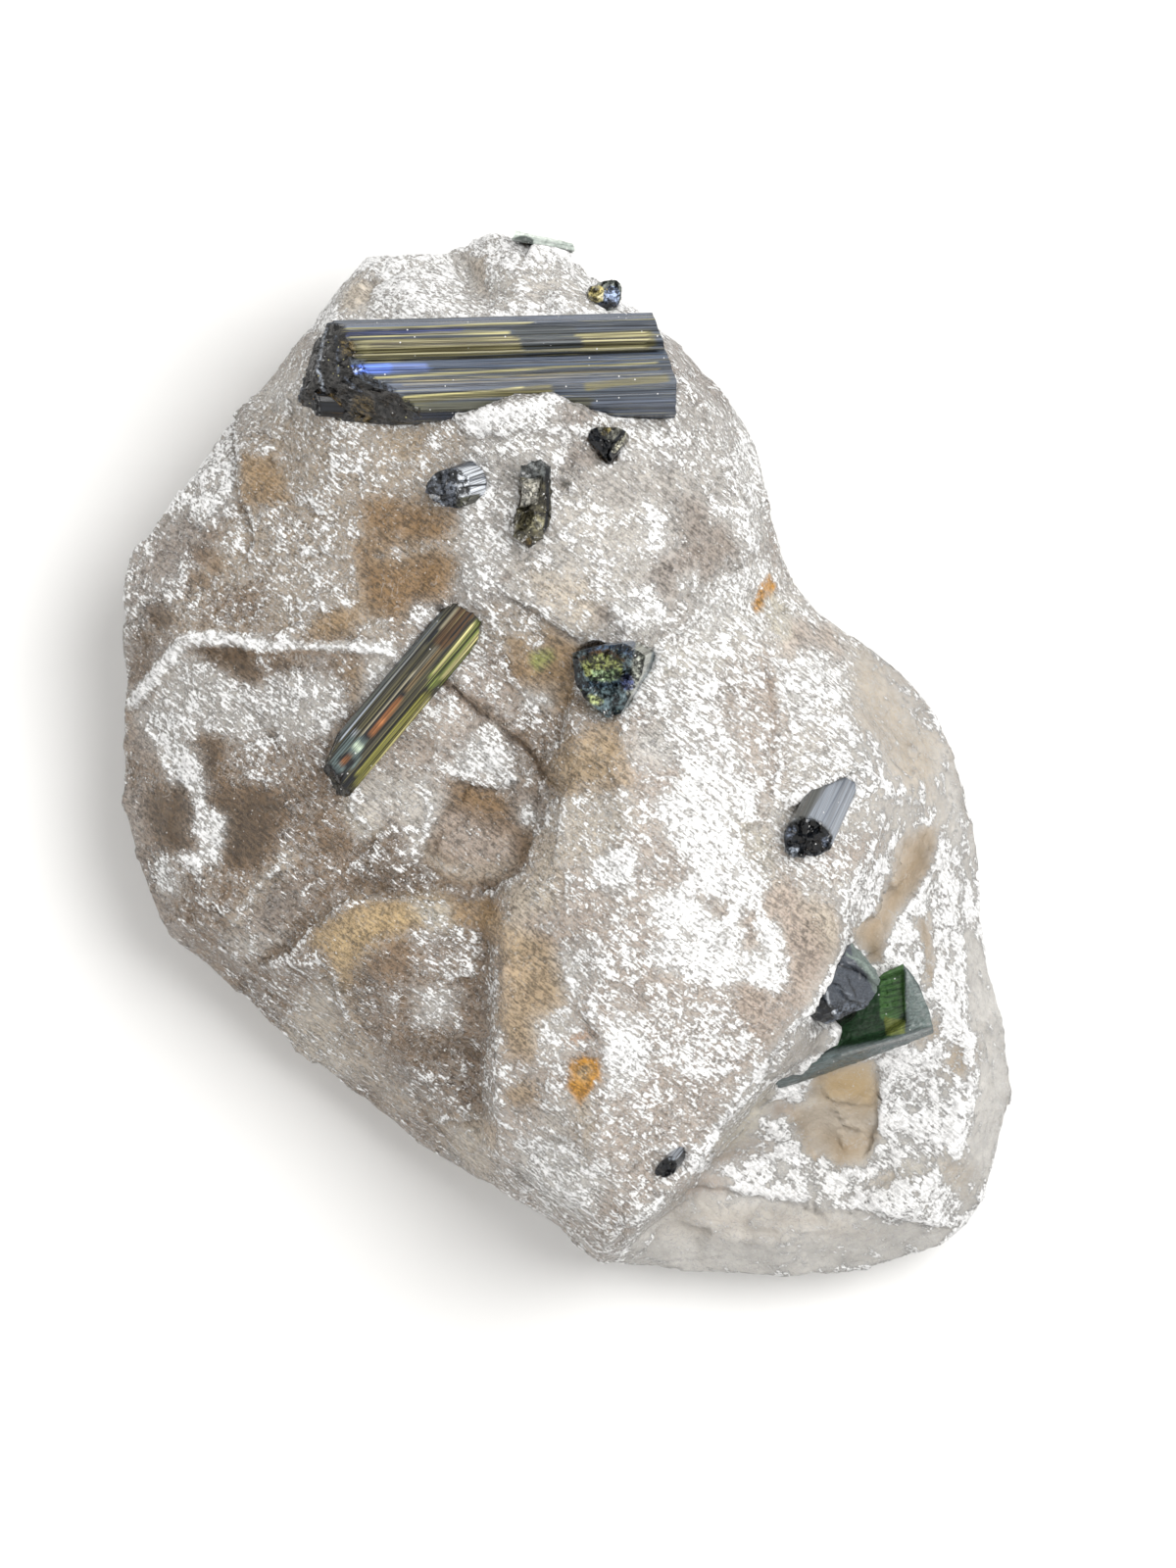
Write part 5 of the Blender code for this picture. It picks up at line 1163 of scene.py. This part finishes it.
def mass_shape(places):
    """Hollows and hackle over the broken crystal, so that its parts stand apart."""
    rises = -1.3 * sum(share_inside(readings(places), hollow, 0.5) for hollow in MASS_HOLLOWS)
    rises += [chips(Vector(place), 1.1, 0.55) for place in places / MM]
    rises += [chips(Vector(place), 0.5, 0.3) for place in places / MM]
    return rises - 0.2


def splinter_shape(places):
    return np.array([chips(Vector(place), 1.2, 0.3) for place in places / MM]) - 0.1


def finished(piece, base, patches, gold, lined=1.0):
    """Colours a crystal by patches read from above. Their edges run in fine steps."""
    mesh = piece.data
    grain = np.empty(len(mesh.vertices) * 3)
    mesh.attributes["grain"].data.foreach_get("vector", grain)
    along = grain.reshape(-1, 3) * (2.0, 2.0, 0.10)
    ragged = np.array([noise.noise(Vector(place)) for place in along])
    sheet = readings(places_of(mesh)) + ragged[:, None] * (0.10, 0.16)
    store(mesh, "tone", painted(sheet, base, patches, PATCH_SOFT))
    store(mesh, "gold", np.tile(np.array(gold), (len(sheet), 1)))
    store(mesh, "lined", np.full(len(sheet), lined))


def add(tree, kind, inputs=(), **settings):
    """A new shader node. Each input is a value, or another node's output."""
    made = tree.nodes.new(kind)
    for name, value in settings.items():
        setattr(made, name, value)
    for name, value in dict(inputs).items():
        if isinstance(value, bpy.types.NodeSocket):
            tree.links.new(value, made.inputs[name])
        else:
            made.inputs[name].default_value = value
    return made


def material_named(name):
    material = bpy.data.materials.new(name)
    material.use_nodes = True
    material.node_tree.nodes.clear()
    return material, material.node_tree


def attribute(tree, name):
    return add(tree, "ShaderNodeAttribute", attribute_name=name)


def scaled(tree, source, scale):
    inputs = {"Vector": source, "Scale": scale}
    return add(tree, "ShaderNodeMapping", inputs, vector_type="POINT").outputs["Vector"]


def stretched(tree, source, scale, turn):
    """The source's coordinates, turned about Z by degrees and then scaled."""
    inputs = {"Vector": source, "Rotation": (0, 0, math.radians(turn)), "Scale": [1 / s for s in scale]}
    return add(tree, "ShaderNodeMapping", inputs, vector_type="TEXTURE").outputs["Vector"]


def cloud(tree, place, scale, detail=4.0, roughness=0.55, distortion=0.0):
    """Noise from about 0.2 to 0.8."""
    inputs = {"Vector": place, "Scale": scale, "Detail": detail, "Roughness": roughness,
              "Distortion": distortion}
    return add(tree, "ShaderNodeTexNoise", inputs).outputs["Fac"]


def maths(tree, operation, first, second=0.0, third=0.0):
    inputs = {0: first, 1: second, 2: third}
    return add(tree, "ShaderNodeMath", inputs, operation=operation).outputs[0]


def stepped(tree, value, low, high, start=0.0, end=1.0):
    """A smooth step of the value: start at low, end at high."""
    inputs = {"Value": value, "From Min": low, "From Max": high, "To Min": start, "To Max": end}
    made = add(tree, "ShaderNodeMapRange", inputs, interpolation_type="SMOOTHSTEP")
    return made.outputs["Result"]


def mixed(tree, factor, first, second, blend="MIX"):
    inputs = {0: factor, 6: first, 7: second}
    made = add(tree, "ShaderNodeMix", inputs, data_type="RGBA", blend_type=blend)
    return made.outputs[2]


def bumped(tree, heights):
    """A normal from (height, distance in mm) pairs, the later ones over the earlier."""
    normal = None
    for height, distance in heights:
        inputs = {"Height": height, "Distance": distance * MM, "Strength": 1.0}
        if normal is not None:
            inputs["Normal"] = normal
        normal = add(tree, "ShaderNodeBump", inputs).outputs["Normal"]
    return normal


def specks(tree, place, scale, share, radius):
    """Small round dots: 1 on a dot. share is how many of the cells hold one."""
    cells = add(tree, "ShaderNodeTexVoronoi", {"Vector": place, "Scale": scale})
    near = stepped(tree, cells.outputs["Distance"], radius * 0.7, radius, 1.0, 0.0)
    pick = add(tree, "ShaderNodeSeparateColor", {0: cells.outputs["Color"]}).outputs[0]
    return maths(tree, "MULTIPLY", near, maths(tree, "LESS_THAN", pick, share))


def hackle(tree, place, scale):
    """Heights of small flat chips, each leaning its own way."""
    cells = add(tree, "ShaderNodeTexVoronoi", {"Vector": place, "Scale": scale})
    lean = add(tree, "ShaderNodeVectorMath", {0: cells.outputs["Color"], 1: (0.5, 0.5, 0.5)},
               operation="SUBTRACT").outputs[0]
    offset = add(tree, "ShaderNodeVectorMath", {0: place, 1: cells.outputs["Position"]},
                 operation="SUBTRACT").outputs[0]
    return add(tree, "ShaderNodeVectorMath", {0: lean, 1: offset},
               operation="DOT_PRODUCT").outputs["Value"]


def fibres(tree, place, scale, width):
    """Thin curling lines: 1 on a line."""
    wave = cloud(tree, place, scale, 3.0, 0.6, 0.8)
    away = maths(tree, "ABSOLUTE", maths(tree, "SUBTRACT", wave, 0.5))
    return stepped(tree, away, 0.0, width, 1.0, 0.0)


def object_place(tree):
    """The object's own coordinates in millimetres."""
    return scaled(tree, add(tree, "ShaderNodeTexCoord").outputs["Object"], (1000, 1000, 1000))


def smoky_quartz():
    """Glassy quartz: brown to grey, cloudy, with whitish veils and streaks inside, and small white
    flecks painted on as glints of light.
    """
    material, tree = material_named("smoky quartz")
    place = object_place(tree)
    tone = attribute(tree, "tone").outputs["Color"]
    frost = attribute(tree, "frost").outputs["Fac"]
    crisp = attribute(tree, "crisp").outputs["Fac"]
    broad = cloud(tree, place, 0.22, 5.0, 0.62, 0.5)
    fine = cloud(tree, place, 2.0, 4.0, 0.85)
    streak = cloud(tree, stretched(tree, place, (0.7, 4.2, 1.4), STREAK_TURN), 1.0, 4.0, 0.75)
    ripple = stepped(tree, maths(tree, "ADD", fine, streak), 0.84, 1.16, -0.52, 0.52)
    light = maths(tree, "MULTIPLY_ADD", ripple, crisp, stepped(tree, broad, 0.3, 0.7, 0.80, 1.20))
    shade = add(tree, "ShaderNodeCombineColor", {0: light, 1: light, 2: light}).outputs[0]
    colour = mixed(tree, 1.0, tone, shade, "MULTIPLY")
    haze = maths(tree, "MULTIPLY_ADD", frost, 0.7, fine)
    colour = mixed(tree, stepped(tree, haze, 0.66, 1.15, 0.0, 0.5), colour, (*MILK, 1.0))
    veil = maths(tree, "MULTIPLY", fibres(tree, place, 0.5, 0.014), stepped(tree, broad, 0.42, 0.58))
    colour = mixed(tree, maths(tree, "MULTIPLY", veil, 0.5), colour, (*MILK, 1.0))
    # Painted glints: small white flecks in the base colour that stand for light caught by tiny facets
    flecks = maths(tree, "MAXIMUM", specks(tree, place, 1.1, 0.3, 0.12),
                   specks(tree, place, 2.3, 0.22, 0.16))
    colour = mixed(tree, maths(tree, "MULTIPLY", flecks, 0.8), colour, GLINT_COLOUR)
    chip = hackle(tree, place, 0.8)
    normal = bumped(tree, [(chip, 0.14), (streak, 0.16), (fine, 0.14)])
    shader = add(tree, "ShaderNodeBsdfPrincipled", {
        "Base Color": colour, "Roughness": 0.16, "IOR": QUARTZ_IOR,
        "Transmission Weight": QUARTZ_CLEARNESS, "Normal": normal,
    })
    deep = add(tree, "ShaderNodeVolumeAbsorption",
               {"Color": QUARTZ_DEPTH_COLOUR, "Density": QUARTZ_DENSITY})
    add(tree, "ShaderNodeOutputMaterial", {"Surface": shader.outputs[0], "Volume": deep.outputs[0]})
    return material


def white_frost():
    """A lace of matt white over the quartz: solid patches with ragged edges where the frost
    attribute is high, and dashes and flecks round them. It is finer where crisp is 1."""
    material, tree = material_named("white frost")
    place = object_place(tree)
    frost = attribute(tree, "frost").outputs["Fac"]
    crisp = attribute(tree, "crisp").outputs["Fac"]
    blotch = cloud(tree, place, 0.42, 8.0, 0.74, 0.3)
    fleck = cloud(tree, place, 2.2, 4.0, 0.85)
    dash = cloud(tree, stretched(tree, place, (0.8, 3.8, 1.5), STREAK_TURN), 1.0, 3.0, 0.80, 0.2)
    detail = maths(tree, "MULTIPLY", maths(tree, "SUBTRACT", maths(tree, "ADD", fleck, dash), 1.0),
                   maths(tree, "MULTIPLY_ADD", crisp, 1.5, 0.7))
    level = maths(tree, "ADD", maths(tree, "MULTIPLY_ADD", blotch, 1.7, frost), detail)
    sharp = stepped(tree, level, 1.55, 1.61, 0.0, 0.96)
    blurred = stepped(tree, level, 1.44, 1.70, 0.0, 0.92)
    patch = maths(tree, "MULTIPLY_ADD", maths(tree, "SUBTRACT", sharp, blurred), crisp, blurred)
    thread = maths(tree, "MULTIPLY", fibres(tree, place, 1.1, 0.03),
                   stepped(tree, frost, 0.15, 0.5, 0.0, 0.6))
    lace = maths(tree, "MAXIMUM", patch, thread)
    light = stepped(tree, maths(tree, "ADD", fleck, dash), 0.84, 1.16, 0.50, 0.92)
    white = add(tree, "ShaderNodeCombineColor", {0: light, 1: light, 2: light}).outputs[0]
    shader = add(tree, "ShaderNodeBsdfPrincipled", {
        "Base Color": white, "Roughness": 0.6,
        "Normal": bumped(tree, [(lace, 0.10), (fleck, 0.12)]),
    })
    clear = add(tree, "ShaderNodeBsdfTransparent")
    both = add(tree, "ShaderNodeMixShader", {0: lace, 1: clear.outputs[0], 2: shader.outputs[0]})
    add(tree, "ShaderNodeOutputMaterial", {"Surface": both.outputs[0]})
    return material


def tourmaline(name):
    """Glossy tourmaline. Fine lines run along it, as strong as the lined attribute says, some
    of them in the gold attribute's colour. The hackly attribute is 1 on a broken end, which
    is painted lighter and darker in patches, and with specks in the gold colour, as glints."""
    material, tree = material_named(name)
    place = object_place(tree)
    grain = attribute(tree, "grain").outputs["Vector"]
    tone = attribute(tree, "tone").outputs["Color"]
    gold_and_glint_colour = attribute(tree, "gold").outputs["Color"]
    hackly = attribute(tree, "hackly").outputs["Fac"]
    lined = attribute(tree, "lined").outputs["Fac"]
    smooth = maths(tree, "SUBTRACT", 1.0, hackly)
    lines = cloud(tree, scaled(tree, grain, (5.0, 5.0, 0.03)), 1.0, 4.0, 0.80)
    contrast = maths(tree, "MULTIPLY", lined, stepped(tree, lines, 0.36, 0.64, -0.9, 1.35))
    light = maths(tree, "MULTIPLY", maths(tree, "ADD", contrast, 1.0), smooth)
    # Painted glints: broken ends turn lighter and darker in patches, as if their chips caught the light
    broken = stepped(tree, cloud(tree, place, 1.6, 4.0, 0.75), 0.42, 0.66, 0.10, 2.6)
    light = maths(tree, "MULTIPLY_ADD", hackly, broken, light)
    shade = add(tree, "ShaderNodeCombineColor", {0: light, 1: light, 2: light}).outputs[0]
    colour = mixed(tree, 1.0, tone, shade, "MULTIPLY")
    wave = cloud(tree, scaled(tree, grain, (4.4, 4.4, 0.04)), 1.0, 4.0, 0.75)
    bright = maths(tree, "MULTIPLY", stepped(tree, wave, 0.58, 0.65, 0.0, 0.6), smooth)
    bright = maths(tree, "MULTIPLY", bright, lined)
    # Painted glints: specks in the gold colour on broken ends; the same colour also draws the real gold
    # lines
    glint = maths(tree, "MULTIPLY", specks(tree, place, 1.9, 0.10, 0.20), hackly)
    colour = mixed(tree, maths(tree, "MAXIMUM", bright, glint), colour, gold_and_glint_colour)
    colour = mixed(tree, specks(tree, place, 1.3, 0.16, 0.12), colour, DUST_COLOUR)
    rough = stepped(tree, lines, 0.3, 0.7, 0.12, 0.26)
    chip = maths(tree, "MULTIPLY", hackle(tree, place, 1.3), hackly)
    thread = maths(tree, "MULTIPLY", lines, smooth)
    shader = add(tree, "ShaderNodeBsdfPrincipled", {
        "Base Color": colour, "Roughness": rough, "IOR": TOURMALINE_IOR, "Specular IOR Level": 0.35,
        "Normal": bumped(tree, [(thread, 0.05), (chip, 0.7)]),
    })
    add(tree, "ShaderNodeOutputMaterial", {"Surface": shader.outputs[0]})
    return material


def pale_floor():
    material, tree = material_named("pale floor")
    inputs = {"Base Color": FLOOR_COLOUR, "Roughness": 0.6}
    shader = add(tree, "ShaderNodeBsdfPrincipled", inputs)
    add(tree, "ShaderNodeOutputMaterial", {"Surface": shader.outputs[0]})
    return material


def carried(piece, material, slot, *replaced):
    """Finishes a piece: its material, its body and the solids that it stands for. The slot is not used.
    """
    piece.data.materials.clear()
    piece.data.materials.append(material)
    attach(piece, "root")
    if replaced:
        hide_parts(*replaced)


def stage():
    reach = FLOOR_REACH
    corners = [(-reach, -reach, 0), (reach, -reach, 0), (reach, reach, 0), (-reach, reach, 0)]
    mesh = bpy.data.meshes.new("floor")
    mesh.from_pydata(corners, [], [(0, 1, 2, 3)])
    mesh.materials.append(pale_floor())
    floor = link(bpy.data.objects.new("floor", mesh))
    floor.location.z = -FLOOR_GAP * MM


def window_light():
    """A soft light from the upper right."""
    light = bpy.data.lights.new("window", "AREA")
    light.shape = "DISK"
    light.size = WINDOW_SIZE
    light.energy = WINDOW_POWER
    light.color = DAYLIGHT
    lamp = link(bpy.data.objects.new("window", light))
    lamp.location = WINDOW_PLACE
    lamp.rotation_euler = (-lamp.location).to_track_quat("-Z", "Y").to_euler()


def light_and_camera():
    world = bpy.data.worlds.new("studio")
    bpy.context.scene.world = world
    world.use_nodes = True
    backdrop = world.node_tree.nodes["Background"]
    backdrop.inputs["Color"].default_value = (*DAYLIGHT, 1.0)
    backdrop.inputs["Strength"].default_value = SKY_STRENGTH
    window_light()
    camera = bpy.data.cameras.new("camera")
    camera.sensor_fit = "VERTICAL"
    camera.sensor_height = 36.0
    camera.lens = camera.sensor_height * (EYE_HEIGHT - SHEET_HEIGHT) / (2 * EYE_UP)
    camera.clip_start = 0.01
    holder = link(bpy.data.objects.new("camera", camera))
    holder.location = true_place(EYE_ACROSS, EYE_UP, EYE_HEIGHT)
    bpy.context.scene.camera = holder
    bpy.context.scene.view_settings.view_transform = "Standard"


def wedge_hackle(places):
    """The dark wedge is smooth above and hackly at its lower end."""
    below = WEDGE_BREAK - readings(places)[:, 1]
    return np.clip(below * 0.8 + 0.3, 0, 1)


def broken_crystals():
    """The crystals that are broken all round, by name."""
    made = {}
    for name, (voxel, shape, along, hackly) in BROKEN.items():
        piece = broken_piece(name, voxel, shape)
        places = places_of(piece.data)
        amount = wedge_hackle(places) if hackly is None else np.full(len(places), hackly)
        keep_grain(piece.data, along, amount)
        made[name] = piece
    return made


def whole_crystals():
    """The crystals drawn out along their lengths, by name."""
    made = {name: crystal(name) for name in CRYSTALS}
    made["large_bar"] = column(
        "large_bar", placing(BAR_TIP, BAR_AXIS, 0), bar_profile(), BAR_LENGTH,
        broken_end(BAR_CUTS, 0.85, 3.0), foot=bar_foot, rings=60, inner=30)
    made["side_nub"] = column(
        "side_nub", placing(NUB_TIP, NUB_AXIS, 0), faceted_outline(*NUB_SIZE, 5), NUB_LENGTH,
        broken_end(NUB_CUTS, 0.4, 5.0))
    return made


# The crystals that are broken all round: how fine the mesh is in millimetres, the function
# that shapes it, the direction of its lines, and how hackly it is, None for one that changes
BROKEN = {
    "dark_wedge": (0.14, wedge_shape, (0.7, -0.3, 0.1), None),
    "green_blade": (0.15, blade_shape, (0.9, 0.35, 0.3), 0.15),
    "broken_mass": (0.13, mass_shape, (0.1, 0.9, 0.2), 0.8),
    "top_splinter": (0.14, splinter_shape, (1.0, -0.15, 0.0), 0.2),
}
GREEN = ("diagonal_prism", "green_blade")

light_and_camera()
stage()
quartz = quartz_surface()
crust = frost_crust(quartz)
carried(quartz, smoky_quartz(), "smoky_quartz", "quartz_matrix")
carried(crust, white_frost(), "smoky_quartz")

dark_crystal = tourmaline("dark crystal")
green_crystal = tourmaline("green crystal")
for name, piece in {**whole_crystals(), **broken_crystals()}.items():
    finished(piece, *LOOKS[name])
    replaced = [] if name == "side_nub" else ["tourmaline_" + name]
    if name in GREEN:
        carried(piece, green_crystal, "green_tourmaline", *replaced)
    else:
        carried(piece, dark_crystal, "black_tourmaline", *replaced)
